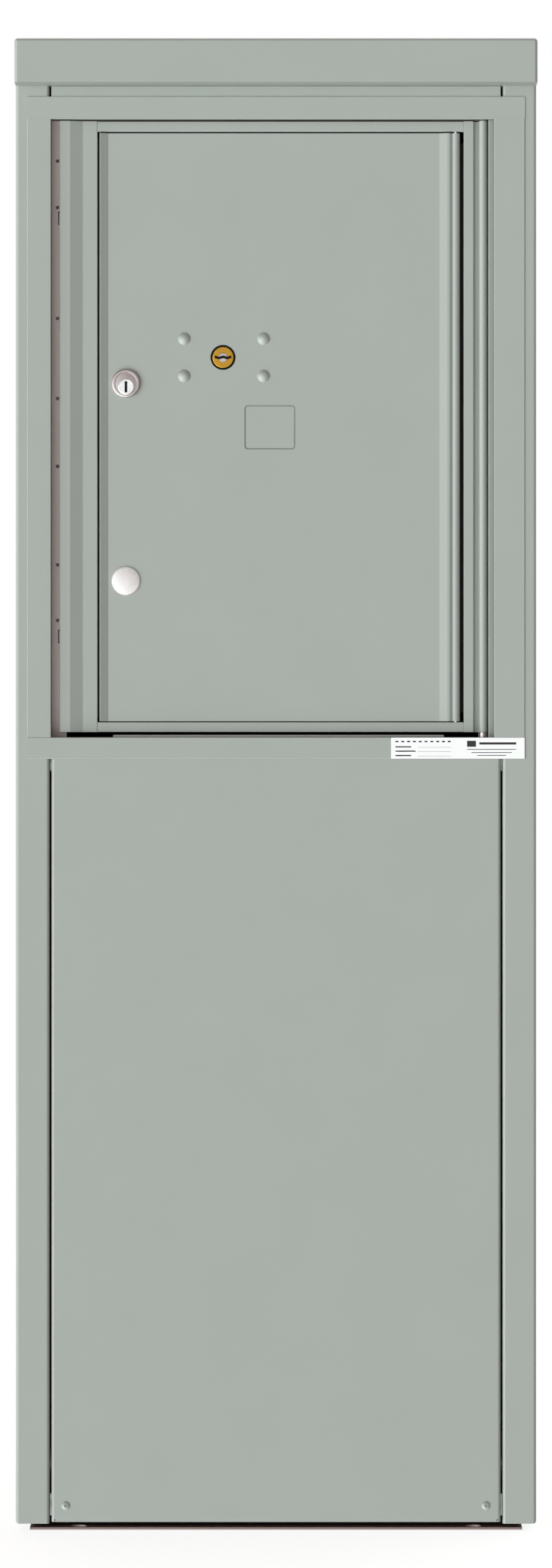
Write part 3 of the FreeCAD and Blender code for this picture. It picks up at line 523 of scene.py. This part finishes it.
# %% Extrude the hinge leaf beside the bead
leaf_low, leaf_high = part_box("hinge_leaf")
leaf_slope = 1.3 * MM
leaf = [(leaf_low.x, leaf_low.y, 0.5), (leaf_high.x, leaf_low.y + leaf_slope, 0.1),
        (leaf_high.x, leaf_high.y, 0), (leaf_low.x, leaf_high.y, 0)]
place("hinge_leaf_extrusion", extrude(leaf, leaf_low.z, leaf_high.z), "cabinet",
      postal_grey, "hinge_leaf")

# %% [markdown]
# ## Painted shadow in the door gap
# Thin black strips lie on the stops of the door's frame. They are painted shadow: they make the gap round
# the door read as a crisp dark line, so each stop gets its own strip.

# %% Lay the painted shadow strips on the four stops
stop_y = stop_back - wall
gap_shadow = {"thick": 0.42 * MM, "lap": 4.0 * MM, "inset": 0.1 * MM}
gap_shadow_end = right_stile - 12 * MM
baffle_start = right_stile - 14 * MM
gap_top = door_high.z + door_gap["above"] - gap_shadow["inset"]
gap_bottom = door_low.z - door_gap["below"] + gap_shadow["inset"]
# These black strips are painted shadow that darkens the gap round the door.
gap_shadow_black = powder_coat("black painted gap shadow", srgb(22, 21, 20), 0.9)


def gap_shadow_strip(x0, x1, z0, z1, back):
    return extrude(rectangle(z0, z1, x0, x1, 0.1), back - gap_shadow["thick"], back, "Y", steps=2)


strips = [gap_shadow_strip(stile_inner + gap_shadow["inset"], door_low.x + gap_shadow["lap"], gap_bottom, gap_top,
                     stop_y),
          gap_shadow_strip(stile_inner, gap_shadow_end, door_high.z - gap_shadow["lap"], gap_top, stop_y),
          gap_shadow_strip(stile_inner, gap_shadow_end, gap_bottom, door_low.z + gap_shadow["lap"], stop_y),
          gap_shadow_strip(baffle_start, right_stile - gap_shadow["inset"], door_low.z + stop_inset,
                     door_high.z - stop_inset, baffle_y)]
place("door_seal_tape", joined(*strips), "master_door", gap_shadow_black)

# %% [markdown]
# ## Locker door
# The door is one more extrusion: a finger lip on the left, a flat face, and a swelling that runs into the
# hinge bead on the right. The holes and the shallow label recess are cut afterwards, as a workshop would
# cut them, with boolean modifiers.

# %% Outline of the door
parcel_axis = middle(parcel_rod_low, parcel_rod_high)
parcel_radius = 3.7 * MM


def door_outline():
    left = door_low.x
    back = door_y + wall
    lip_width = 7.7 * MM
    ridge_width = 8.5 * MM
    valley_x = parcel_axis[0] - 3.2 * MM
    crest_x = parcel_axis[0] - 6.2 * MM
    crest_y = door_y - 1.6 * MM
    return [(left, door_low.y, 0.5), (left + lip_width, door_y, 1.0),
            (crest_x - ridge_width, door_y, 6.0), (crest_x - 1.5 * MM, crest_y, 2.2),
            (crest_x + 0.8 * MM, crest_y, 1.4), (valley_x, door_y - 0.1 * MM, 0.4),
            *bead_arc(parcel_axis, parcel_radius, 215, 420),
            (parcel_axis[0] - 2.0 * MM, back, 0.4), (left, back, 0.5)]


door_blank = extrude(door_outline(), door_low.z, door_high.z, steps=8)
print("door outline from", round(door_low.x, 4), "to", round(parcel_axis[0], 4))

# %% [markdown]
# ## Turned parts
# Lock parts, plugs, rivets and rods are made on a lathe, so each is a profile swept round an axis. Spin
# would leave a seam and open poles. This lathe closes both, and one ring of a profile may be a hexagon,
# which makes nuts and socket heads with the same helper.

# %% A lathe that makes closed meshes
def ring_radius(radius, turn, hexagon):
    if not hexagon:
        return radius
    return radius / math.cos((turn + math.pi / 6) % (math.pi / 3) - math.pi / 6)


def lathe(profile, steps=48, loop=False):
    """Rings of (radius, height) or (radius, height, "hex") in mm round local Z."""
    shape = bmesh.new()
    rings = []
    for radius, height, *kind in profile:
        if radius == 0:
            rings.append([shape.verts.new((0, 0, height * MM))])
            continue
        ring = []
        for step in range(steps):
            turn = 2 * math.pi * step / steps
            reach = ring_radius(radius * MM, turn, bool(kind))
            ring.append(shape.verts.new((reach * math.cos(turn), reach * math.sin(turn), height * MM)))
        rings.append(ring)
    pairs = list(zip(rings, rings[1:])) + ([(rings[-1], rings[0])] if loop else [])
    for one, two in pairs:
        for step in range(steps):
            near, far = step, (step + 1) % steps
            corners = [one[near % len(one)], one[far % len(one)],
                       two[far % len(two)], two[near % len(two)]]
            shape.faces.new(list(dict.fromkeys(corners)))
    bmesh.ops.recalc_face_normals(shape, faces=shape.faces)
    return to_mesh(shape)


def facing_front(mesh, x, y, z):
    mesh.transform(Matrix(((1, 0, 0, x), (0, 0, -1, y), (0, 1, 0, z), (0, 0, 0, 1))))
    return mesh


def arc(radius, rise, top, steps=8, inner=0.0):
    """Profile points of a dome of that rim radius and rise, from its crown or hole to its rim."""
    sphere = (radius * radius + rise * rise) / (2 * rise)
    spans = [inner + (radius - inner) * k / steps for k in range(steps + 1)]
    return [(r, top - sphere + math.sqrt(sphere * sphere - r * r)) for r in spans]


def fillet(radius, height, round_off, steps=5):
    """Profile points round the outer edge of a flat face."""
    turns = [math.pi / 2 * (1 - k / steps) for k in range(steps + 1)]
    return [(radius - round_off + round_off * math.cos(a), height - round_off + round_off * math.sin(a))
            for a in turns]


def cut(mesh, *cutters):
    body = bpy.data.objects.new("blank", mesh)
    bpy.context.collection.objects.link(body)
    tools = []
    for cutter in cutters:
        tool = bpy.data.objects.new("cutter", cutter)
        bpy.context.collection.objects.link(tool)
        boolean = body.modifiers.new("cut", "BOOLEAN")
        boolean.operation = "DIFFERENCE"
        boolean.solver = "EXACT"
        boolean.object = tool
        tools.append(tool)
    result = evaluated(body)
    for used in [body, *tools]:
        bpy.data.objects.remove(used)
    return result


def centre_of(node):
    low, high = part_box(node)
    return (low + high) / 2


print("arc:", [tuple(round(v, 2) for v in p) for p in arc(5.7, 3.0, 3.0, 3)])

# %% Drill the door and cut its label recess
lock_at = centre_of("customer_lock_plug")
ring_at = centre_of("customer_lock_body")
blank_at = centre_of("blank_plug")
arrow_at = centre_of("arrow_lock_core")
barrel_radius = 9.2
arrow_hole = 11.25
recess = {"width": 45.5 * MM, "height": 39.6 * MM, "depth": 0.8 * MM, "offset": -7.0 * MM}
door_middle = (door_low.z + door_high.z) / 2


def drill(at, radius):
    return facing_front(lathe([(0, 6), (radius, 6), (radius, -9), (0, -9)], 64), at.x, door_y, at.z)


def label_block(inset, front, back):
    """A rounded block the size of the label recess, less an inset all round."""
    x = (door_low.x + parcel_axis[0]) / 2 + recess["offset"]
    half_width = recess["width"] / 2 - inset
    half_height = recess["height"] / 2 - inset
    outline = rectangle(door_middle - half_height, door_middle + half_height, x - half_width,
                        x + half_width, 3.0 - inset / MM)
    return extrude(outline, front, back, "Y")


groove = {"width": 1.1 * MM, "depth": 0.8 * MM}
floor_y = door_y + recess["depth"]
pocket = label_block(0, door_y - 3 * MM, floor_y + groove["depth"])
pad = label_block(groove["width"], floor_y - 0.4 * MM, floor_y + groove["depth"] + 0.1 * MM)
door_mesh = joined(cut(door_blank, drill(arrow_at, arrow_hole), drill(lock_at, barrel_radius),
                       drill(blank_at, barrel_radius), pocket), pad)
place("parcel_door_extrusion", door_mesh, "parcel_door", postal_grey,
      "parcel_door_panel", sharp=35)
print("door faces:", len(door_mesh.polygons))

# %% [markdown]
# ## Customer lock
# A round cam lock sits in the upper hole. Its satin head is wider than the hole and the plug sits low in
# it, so the head is turned and then bored off centre. The plug is nickel, and a black block in its key slot
# is painted shadow that makes the slot read dark.

# %% Turn and bore the lock head
satin_head = turned_metal("satin zinc lock head", srgb(196, 186, 184), 0.34,
                          (ring_at.x, 0, ring_at.z), 420.0)
nickel = turned_metal("bright nickel plug", srgb(250, 248, 248), 0.45, (lock_at.x, 0, lock_at.z))
keyway_dark = powder_coat("keyway shadow", srgb(7, 7, 7), 0.9)
head_radius = 12.75
plug_radius = 7.15

head = facing_front(lathe([(0, 3.1), *arc(9.6, 0.35, 3.1, 3, 2.0), (10.0, 3.5),
                           *fillet(head_radius, 3.5, 1.2), (head_radius, 0), (0, 0)], 72),
                    ring_at.x, door_y, ring_at.z)
bore = facing_front(lathe([(0, 9), (plug_radius + 0.15, 9), (plug_radius + 0.15, -3), (0, -3)], 72),
                    lock_at.x, door_y, lock_at.z)
head = cut(head, bore)
barrel = facing_front(lathe([(plug_radius + 0.1, 0), (barrel_radius, 0), (barrel_radius, -12.6),
                             (barrel_radius - 0.4, -13), (plug_radius + 0.1, -13)], 48, loop=True),
                      lock_at.x, door_y, lock_at.z)
place("customer_lock_head_turned", joined(head, barrel), "parcel_door", satin_head,
      "customer_lock_body", sharp=35)

# %% Turn the plug and slot it for the key
def key_slot(width, height, start, end):
    outline = rectangle(lock_at.z - height / 2, lock_at.z + height / 2, lock_at.x - width / 2,
                        lock_at.x + width / 2, 0.9)
    return extrude(outline, start, end, "Y")


plug_low, plug_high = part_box("customer_lock_plug")
plug = facing_front(lathe([(0, 0), (5.9, 0), (6.1, -0.25), (6.4, -0.25), (6.6, 0),
                           *fillet(plug_radius, 0, 0.4), (plug_radius, -17), (0, -17)], 72),
                    lock_at.x, plug_low.y, lock_at.z)
keyway = {"width": 2.4 * MM, "height": 10.2 * MM, "depth": 8 * MM, "gap": 0.1 * MM}
plug = cut(plug, key_slot(keyway["width"], keyway["height"], plug_low.y - 2 * MM,
                          plug_low.y + keyway["depth"]))
half_tail = 3 * MM
tail = extrude(rectangle(lock_at.z - half_tail, lock_at.z + half_tail, lock_at.x - half_tail,
                         lock_at.x + half_tail), plug_high.y - 2.5 * MM, plug_high.y, "Y")
# A black block in the key slot is painted shadow that makes the slot read dark.
keyway_shadow_block = key_slot(keyway["width"] - keyway["gap"], keyway["height"] - keyway["gap"],
                 plug_low.y + 0.5 * MM, plug_low.y + keyway["depth"] - keyway["gap"])
place("customer_keyway_wards", keyway_shadow_block, "customer_plug", keyway_dark)
place("customer_plug_turned", joined(plug, tail), "customer_plug", nickel,
      "customer_lock_plug", sharp=35)
print("plug faces:", len(plug.polygons))

# %% [markdown]
# ## Blank plug
# The second hole is closed with a plain bright button that nobody ever turns. It is a shallow dome with a
# hollow stem and a spring clip behind the door.

# %% Turn the blank plug
blank_metal = turned_metal("polished blank plug", srgb(244, 240, 239), 0.62,
                           (blank_at.x, 0, blank_at.z), 300.0)
blank = facing_front(lathe([*arc(head_radius - 0.5, 0.8, 2.4, 8), (head_radius - 0.1, 1.3),
                            (head_radius, 1.0), (head_radius, 0), (barrel_radius, 0),
                            (barrel_radius, -7.5), (barrel_radius - 2, -7.5),
                            (barrel_radius - 2, -0.6), (0, -0.6)], 72),
                     blank_at.x, door_y, blank_at.z)
place("blank_plug_turned", blank, "parcel_door", blank_metal, "blank_plug", sharp=35)

# %% [markdown]
# ## Carrier lock
# The larger hole shows a brass plug with a curved slot across it and a small grey core. The slot is a
# cosine curve with a thickness, so a formula draws it, and the same cutter slots both turned parts.

# %% Turn the brass plug and its core, and cut the wavy slot
brass = turned_metal("turned lock brass", srgb(206, 158, 62), 0.3, (arrow_at.x, 0, arrow_at.z), 700.0)
core_metal = turned_metal("worn steel core", srgb(206, 197, 194), 0.4, (arrow_at.x, 0, arrow_at.z))
brass_low, brass_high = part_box("arrow_lock_plug")
core_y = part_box("arrow_lock_core")[0].y
brass_radius = 9.5
brass_bore = 4.2
slot_depth = 4.6


def wavy_slot(start, end, length=15.0, width=2.5, wave=0.45, steps=24):
    spans = [-length / 2 + length * k / steps for k in range(steps + 1)]
    crest = [(wave * math.cos(4 * math.pi * s / length), s) for s in spans]
    lower = [(z - width / 2, x) for z, x in crest]
    upper = [(z + width / 2, x) for z, x in reversed(crest)]
    outline = [(arrow_at.z + z * MM, arrow_at.x + x * MM, 0) for z, x in lower + upper]
    return extrude(outline, door_y + start * MM, door_y + end * MM, "Y")


brass_plug = facing_front(lathe([(brass_bore, 0), (4.4, 0), *fillet(brass_radius, 0, 0.5),
                                 (brass_radius, -8.0), (brass_bore, -8.0)], 72, loop=True),
                          arrow_at.x, brass_low.y, arrow_at.z)
core = facing_front(lathe([(0, 0), *fillet(4.15, 0, 0.4), (4.15, -slot_depth), (0, -slot_depth)], 48),
                    arrow_at.x, core_y, arrow_at.z)
crank = {"reach": 6.4 * math.sin(math.radians(45)) * MM, "pin": 1.8, "length": 5.8}
crank_pin = facing_front(lathe([(0, 0), (crank["pin"], 0), (crank["pin"], 0.3 - crank["length"]),
                                (crank["pin"] - 0.3, -crank["length"]), (0, -crank["length"])], 24),
                         arrow_at.x + crank["reach"], brass_high.y - crank["length"] * MM,
                         arrow_at.z + crank["reach"])
place("arrow_plug_turned", joined(cut(brass_plug, wavy_slot(-2, slot_depth)), crank_pin), "arrow_plug",
      brass, "arrow_lock_plug", sharp=35)
place("arrow_core_turned", cut(core, wavy_slot(-2, slot_depth)), "arrow_plug", core_metal,
      "arrow_lock_core", sharp=35)
# A black block in the wavy slot is painted shadow that makes the slot read dark.
place("arrow_keyway_wards", wavy_slot(1.1, slot_depth - 0.1, 14.8, 2.4), "arrow_plug",
      keyway_dark)

# %% [markdown]
# ## Fasteners from one tree
# Bolts, nuts, rivets and screws repeat all over the cabinet. Each could be copied by hand, but then a
# change of one has to be made many times. A second tree puts one pattern part on every point, turns it to
# face the way that point says, and spins it by a random angle, because nobody lines screws up.

# %% Build the fastener tree
def fastener_tree():
    tree = bpy.data.node_groups.new("fasteners", "GeometryNodeTree")
    add_input(tree, "Places", "NodeSocketGeometry")
    add_input(tree, "Pattern", "NodeSocketObject")
    add_input(tree, "Most turn", "NodeSocketFloat", math.tau)
    add_input(tree, "Seed", "NodeSocketInt", 7)
    add_input(tree, "Finish", "NodeSocketMaterial")
    tree.interface.new_socket(name="Fasteners", in_out="OUTPUT", socket_type="NodeSocketGeometry")
    add = tree.nodes.new
    link = tree.links.new
    given = add("NodeGroupInput")
    part = add("GeometryNodeObjectInfo")
    part.transform_space = "ORIGINAL"
    facing = add("GeometryNodeInputNamedAttribute")
    facing.data_type = "FLOAT_VECTOR"
    facing.inputs["Name"].default_value = "facing"
    aim = add("FunctionNodeAlignRotationToVector")
    aim.axis = "Z"
    chance = add("FunctionNodeRandomValue")
    chance.data_type = "FLOAT"
    spin = add("ShaderNodeCombineXYZ")
    euler = add("FunctionNodeEulerToRotation")
    turned = add("FunctionNodeRotateRotation")
    turned.rotation_space = "LOCAL"
    copies = add("GeometryNodeInstanceOnPoints")
    real = add("GeometryNodeRealizeInstances")
    paint = add("GeometryNodeSetMaterial")
    result = add("NodeGroupOutput")
    link(given.outputs["Pattern"], part.inputs["Object"])
    link(facing.outputs["Attribute"], aim.inputs["Vector"])
    link(given.outputs["Most turn"], chance.inputs[3])
    link(given.outputs["Seed"], chance.inputs["Seed"])
    link(chance.outputs[1], spin.inputs["Z"])
    link(spin.outputs["Vector"], euler.inputs["Euler"])
    link(aim.outputs["Rotation"], turned.inputs["Rotation"])
    link(euler.outputs["Rotation"], turned.inputs["Rotate By"])
    link(given.outputs["Places"], copies.inputs["Points"])
    link(part.outputs["Geometry"], copies.inputs["Instance"])
    link(turned.outputs["Rotation"], copies.inputs["Rotation"])
    link(copies.outputs["Instances"], real.inputs["Geometry"])
    link(real.outputs["Geometry"], paint.inputs["Geometry"])
    link(given.outputs["Finish"], paint.inputs["Material"])
    link(paint.outputs["Geometry"], result.inputs["Fasteners"])
    return tree


fasteners = fastener_tree()


def solids_of(node):
    """The low and high corner of each separate solid in a CAD node."""
    shape = bmesh.new()
    shape.from_mesh(frame["nodes"][node].data)
    bmesh.ops.remove_doubles(shape, verts=shape.verts, dist=1e-6)
    left = set(shape.verts)
    boxes = []
    while left:
        heap = [left.pop()]
        found = []
        while heap:
            vert = heap.pop()
            found.append(vert.co.copy())
            for edge in vert.link_edges:
                other = edge.other_vert(vert)
                if other in left:
                    left.remove(other)
                    heap.append(other)
        boxes.append((Vector(map(min, *found)), Vector(map(max, *found))))
    shape.free()
    return sorted(boxes, key=lambda pair: tuple(round(v, 5) for v in pair[0]))


def fasten(node, pattern, places, finish):
    """Puts a pattern on each (place, facing) and stands the result for the CAD node."""
    carrier = bpy.data.meshes.new("places")
    carrier.from_pydata([tuple(seat) for seat, _ in places], [], [])
    facing = carrier.attributes.new("facing", "FLOAT_VECTOR", "POINT")
    for item, (_, direction) in zip(facing.data, places):
        item.vector = direction
    part = bpy.data.objects.new("pattern", pattern)
    bpy.context.collection.objects.link(part)
    mesh = run_tree(fasteners, carrier, Pattern=part, Most_turn=math.tau, Seed=11, Finish=finish)
    bpy.data.objects.remove(part)
    print(node, len(places), "fasteners,", len(mesh.polygons), "faces")
    place(node + "_set", mesh, body_of(node), finish, node, sharp=35)


FRONT = Vector((0, -1, 0))
print("fastener inputs:", [item.name for item in fasteners.interface.items_tree])

# %% Patterns for the bolts, nuts, rivets and screws
def domed_bolt(radius, rise, shank, length):
    return lathe([*arc(radius, rise, rise, 9), (radius - 0.15, 0), (shank, 0), (shank, -length),
                  (0, -length - 0.4)], 40)


def pinned_screw(radius, rise, shank, length):
    crown = arc(radius, rise, rise, 7, 1.5)
    return lathe([(0, rise - 0.5), (0.55, rise - 0.5), (0.6, rise - 0.65), (0.6, rise - 1.3),
                  (1.3, rise - 1.3, "hex"), (1.35, crown[0][1] - 0.05, "hex"), *crown,
                  (shank, 0), (shank, -length), (0, -length)], 36)


def hexagon_nut(flats, thickness, bore):
    half = flats / 2
    return lathe([(bore, 0), (half - 0.1, 0), (half, 0.5, "hex"), (half, thickness - 0.6, "hex"),
                  (half - 0.2, thickness), (bore + 0.5, thickness), (bore, thickness - 0.5)],
                 48, loop=True)


def socket_screw(radius, height, shank, length):
    return lathe([(0, height - 1.2), (0.95, height - 1.2, "hex"), (1.0, height, "hex"),
                  *fillet(radius, height, 0.6, 4), (radius, 0), (shank, 0), (shank, -length),
                  (0, -length)], 36)


def at_front(node, seat):
    """The middle of each solid at the depth that seat gives, turned to the front."""
    return [(Vector(((low.x + high.x) / 2, seat(low, high), (low.z + high.z) / 2)), FRONT)
            for low, high in solids_of(node)]


screw_rise = 1.9
rivet_rise = 0.8
fasten("carriage_bolts", domed_bolt(5.7, 3.0, 3.0, 12.3),
       at_front("carriage_bolts", lambda low, high: door_y), postal_grey)
fasten("carriage_nuts", hexagon_nut(10, 4, 3.05),
       at_front("carriage_nuts", lambda low, high: high.y), zinc_sheet)
fasten("panel_screws", pinned_screw(4.15, screw_rise, 2.5, 14),
       at_front("panel_screws", lambda low, high: low.y + screw_rise * MM), postal_grey)
fasten("jamb_rivets", domed_bolt(1.6, rivet_rise, 0.8, 1.2),
       at_front("jamb_rivets", lambda low, high: low.y + rivet_rise * MM), rivet_coat)


def away_from_shank(node, head_height):
    """Seat and direction of each screw: given for the rear and cap screws, and set by which side of the
    middle the rest stand.
    """
    places = []
    for low, high in solids_of(node):
        size = high - low
        axis = max(range(3), key=lambda k: size[k])
        middle_point = (low + high) / 2
        outward = {"rear_screws": 1, "cap_screws": -1}.get(node) or (-1 if middle_point.x > 0 else 1)
        direction = Vector([outward if k == axis else 0 for k in range(3)])
        seat = middle_point.copy()
        end = high[axis] if outward > 0 else low[axis]
        seat[axis] = end - outward * head_height * MM
        places.append((seat, direction))
    return places


head_height = 1.8
for node, length, finish in (("rear_screws", 8, postal_grey), ("cap_screws", 7, zinc_sheet),
                             ("base_screws", 8, zinc_sheet)):
    fasten(node, socket_screw(4, head_height, 2, length), away_from_shank(node, head_height), finish)

# %% [markdown]
# ## Data label
# A white film label lies on the right end of the bottom trim. Its wording belongs to a maker, so only plain
# ruled lines stand for it: short bars for the headings of a form and thin rules for the blanks.

# %% Cut the label and print its rules
label_film, label_tree, label_shader = start_material("white label film", srgb(252, 252, 252), 0.4, 0.0)
grain = object_pattern(label_tree, "ShaderNodeTexNoise", Scale=900.0, Detail=2.0)
tint(label_tree, grain.outputs["Fac"], srgb(249, 249, 249), srgb(255, 255, 255), label_shader)
relief(label_tree, grain.outputs["Fac"], label_shader, 0.05, 0.00005)
label_ink = powder_coat("printed label ink", srgb(38, 36, 36), 0.5)

label_low, label_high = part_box("data_label")
label_outline = rectangle(label_low.z, label_high.z, label_low.x, label_high.x, 0.6)
place("data_label_film", extrude(label_outline, label_low.y, label_high.y, "Y"), "cabinet",
      label_film, "data_label")


def printed_bar(left, right, height, thick):
    """A rule of ink in mm from the label's lower left corner."""
    x0 = label_low.x + left * MM
    z0 = label_low.z + height * MM
    outline = rectangle(z0, z0 + thick * MM, x0, x0 + (right - left) * MM, 0.1)
    return extrude(outline, label_low.y - 0.04 * MM, label_low.y + 0.02 * MM, "Y", steps=2)


def printed_form():
    """A row of short dashes, three ruled blanks, and a block with lines on the right."""
    bars = [printed_bar(4 + 5.2 * k, 6.6 + 5.2 * k, 14.6, 1.3) for k in range(10)]
    for row in range(3):
        height = 2.2 + 3.9 * row
        bars.append(printed_bar(4, 18 + 4 * (row % 2), height, 1.1))
        bars.append(printed_bar(24, 54, height, 0.2))
    bars.append(printed_bar(68, 76, 10.6, 5.4))
    bars.append(printed_bar(79, 112, 12.6, 2.0))
    bars += [printed_bar(68 + inset, 112 - inset, height, 0.6)
             for inset, height in ((0, 8.0), (4, 5.2), (9, 2.6))]
    return bars


place("data_label_rules", joined(*printed_form()), "cabinet", label_ink)

# %% [markdown]
# ## Rods and bushings
# Both doors turn on steel rods. The outer rod runs in sintered bushings that show below and above the
# door frame, which is why they are worth a bore and a finish of their own.

# %% Turn the hinge rods and bushings
def size_of(low, high):
    """Radius and length in mm of an upright round solid."""
    return (high.x - low.x) / 2 / MM, (high.z - low.z) / MM


for node in ("master_hinge_rod", "parcel_hinge_rod"):
    low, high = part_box(node)
    radius, length = size_of(low, high)
    edge = 0.4
    mesh = lathe([(0, length), (radius - edge, length), (radius, length - edge), (radius, edge),
                  (radius - edge, 0), (0, 0)], 32)
    mesh.transform(Matrix.Translation((*middle(low, high), low.z)))
    place(node + "_turned", mesh, body_of(node), stainless_rod, node)

rings = []
bore = 2.0
for low, high in solids_of("hinge_bushings"):
    radius, length = size_of(low, high)
    edge = 0.3
    ring = lathe([(bore, 0), (radius - edge, 0), (radius, edge), (radius, length - edge),
                  (radius - edge, length), (bore, length)], 40, loop=True)
    ring.transform(Matrix.Translation((*middle(low, high), low.z)))
    rings.append(ring)
place("hinge_bushings_turned", joined(*rings), "cabinet", bushing_metal,
      "hinge_bushings")
print("rods: 2, bushings:", len(rings))

# %% [markdown]
# ## Folded and plain steel
# The remaining pieces are folded sheet and cut bar, and their CAD shapes are already right, bends included.
# What they lack is the tiny rounding that every real edge has. A merged copy of each gets a bevel on its
# sharp edges only, so light catches the edges as it does on painted steel.

# %% Round the edges of every other piece
finishes = {"powder_coat": postal_grey, "coated_fastener": postal_grey, "base_coat": base_painted_shade_grey,
            "housing_coat": housing_painted_shade_grey, "zinc_steel": zinc_sheet, "stainless": stainless_rod,
            "black_oxide": black_case, "satin_zinc": zinc_sheet, "bright_nickel": zinc_sheet,
            "lock_brass": brass, "label_film": label_film}
# The left jamb takes the coat with painted warm shade instead of its slot's finish.
painted_shade_finish = {"left_jamb": jamb_painted_shade_coat}


def softened(node, width):
    shape = bmesh.new()
    shape.from_mesh(frame["nodes"][node].data)
    bmesh.ops.remove_doubles(shape, verts=shape.verts, dist=1e-6)
    bmesh.ops.dissolve_limit(shape, angle_limit=math.radians(0.6), verts=shape.verts,
                             edges=shape.edges, use_dissolve_boundaries=False)
    mesh = to_mesh(shape)
    finish = painted_shade_finish.get(node, finishes[slot_of(node)])
    piece = place(node + "_edged", mesh, body_of(node), finish, node)
    bevel = piece.modifiers.new("rounded edge", "BEVEL")
    bevel.width = width * MM
    bevel.segments = 2
    bevel.limit_method = "ANGLE"
    bevel.angle_limit = math.radians(50)
    bevel.use_clamp_overlap = True
    piece.modifiers.move(1, 0)
    return piece


stood_for = {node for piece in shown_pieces() for node in piece.get("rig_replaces", [])}
edge_rounding = {"top_cap": 0.25, "arrow_lock_case": 0.5, "master_latch_bar": 0.3}
rest = sorted(set(frame["nodes"]) - stood_for)
for node in rest:
    softened(node, edge_rounding.get(node, 0.2))
print("pieces with rounded edges:", len(rest))

# %% [markdown]
# ## Studio
# The cabinet stands on a white floor in front of nothing. Lamps would need balancing one against another,
# so the sky does all the work: a soft patch low on the left models every bend, a second one behind lights
# the back, and a weak warm glow all round leaves gaps dark and faces turned right dimmer.

# %% Floor, light and sky
floor_mesh = bpy.data.meshes.new("studio_floor")
floor_mesh.from_pydata([(-6, -8, 0), (6, -8, 0), (6, 6, 0), (-6, 6, 0)], [], [(0, 1, 2, 3)])
floor = bpy.data.objects.new("studio_floor", floor_mesh)
bpy.context.collection.objects.link(floor)
floor_paint, _, floor_shader = start_material("white studio floor", (0.35, 0.35, 0.35, 1), 1.0, 0.0)
floor_shader.inputs["Specular IOR Level"].default_value = 0.0
floor_shader.inputs["Emission Color"].default_value = (1, 1, 1, 1)
floor_shader.inputs["Emission Strength"].default_value = 0.8
floor_mesh.materials.append(floor_paint)
floor.visible_diffuse = False
floor.visible_glossy = False

sky = bpy.data.worlds.new("studio sky")
sky.use_nodes = True
bpy.context.scene.world = sky
nodes = sky.node_tree.nodes
links = sky.node_tree.links
looking = nodes.new("ShaderNodeTexCoord")


def glow(azimuth, elevation, focus, strength, colour):
    """A soft patch of sky, brightest in one direction, as a background shader."""
    a, e = math.radians(azimuth), math.radians(elevation)
    towards = nodes.new("ShaderNodeVectorMath")
    towards.operation = "DOT_PRODUCT"
    towards.inputs[1].default_value = (math.sin(a) * math.cos(e), -math.cos(a) * math.cos(e),
                                       math.sin(e))
    links.new(looking.outputs["Generated"], towards.inputs[0])
    value = towards.outputs["Value"]
    for operation, amount in (("MAXIMUM", 0.0), ("POWER", focus), ("MULTIPLY", strength)):
        step = nodes.new("ShaderNodeMath")
        step.operation = operation
        step.inputs[1].default_value = amount
        links.new(value, step.inputs[0])
        value = step.outputs["Value"]
    patch = nodes.new("ShaderNodeBackground")
    patch.inputs["Color"].default_value = (*colour, 1)
    links.new(value, patch.inputs["Strength"])
    return patch.outputs["Background"]


def together(one, two):
    both = nodes.new("ShaderNodeAddShader")
    links.new(one, both.inputs[0])
    links.new(two, both.inputs[1])
    return both.outputs["Shader"]


ambient = nodes["Background"]
ambient.inputs["Color"].default_value = (1.0, 0.86, 0.8, 1)
ambient.inputs["Strength"].default_value = 0.24
key = glow(azimuth=-48, elevation=-30, focus=4, strength=6.4, colour=(0.93, 0.985, 1.0))
rear_fill = glow(azimuth=160, elevation=30, focus=2, strength=1.8, colour=(1.0, 1.0, 1.0))
light = together(together(key, rear_fill), ambient.outputs["Background"])
seen = nodes.new("ShaderNodeBackground")
seen.inputs["Color"].default_value = (1, 1, 1, 1)
path = nodes.new("ShaderNodeLightPath")
mixed = nodes.new("ShaderNodeMixShader")
links.new(path.outputs["Is Camera Ray"], mixed.inputs["Fac"])
links.new(light, mixed.inputs[1])
links.new(seen.outputs["Background"], mixed.inputs[2])
links.new(mixed.outputs["Shader"], nodes["World Output"].inputs["Surface"])
print("sky nodes:", len(nodes))

# %% [markdown]
# ## Camera
# A long lens far away, level with the middle of the cabinet, keeps upright lines upright.

# %% Camera
distance = 4.8
eye_height = 0.6676
camera = bpy.data.cameras.new("camera")
camera.sensor_width = 36.0
camera.lens = 123.16
camera.dof.use_dof = False
view = bpy.data.objects.new("camera", camera)
view.location = (0.0, front_y - distance, eye_height)
view.rotation_euler = (math.radians(90), 0, 0)
bpy.context.collection.objects.link(view)
bpy.context.scene.camera = view
bpy.context.scene.view_settings.view_transform = "Standard"
print("camera:", [round(v, 3) for v in view.location])
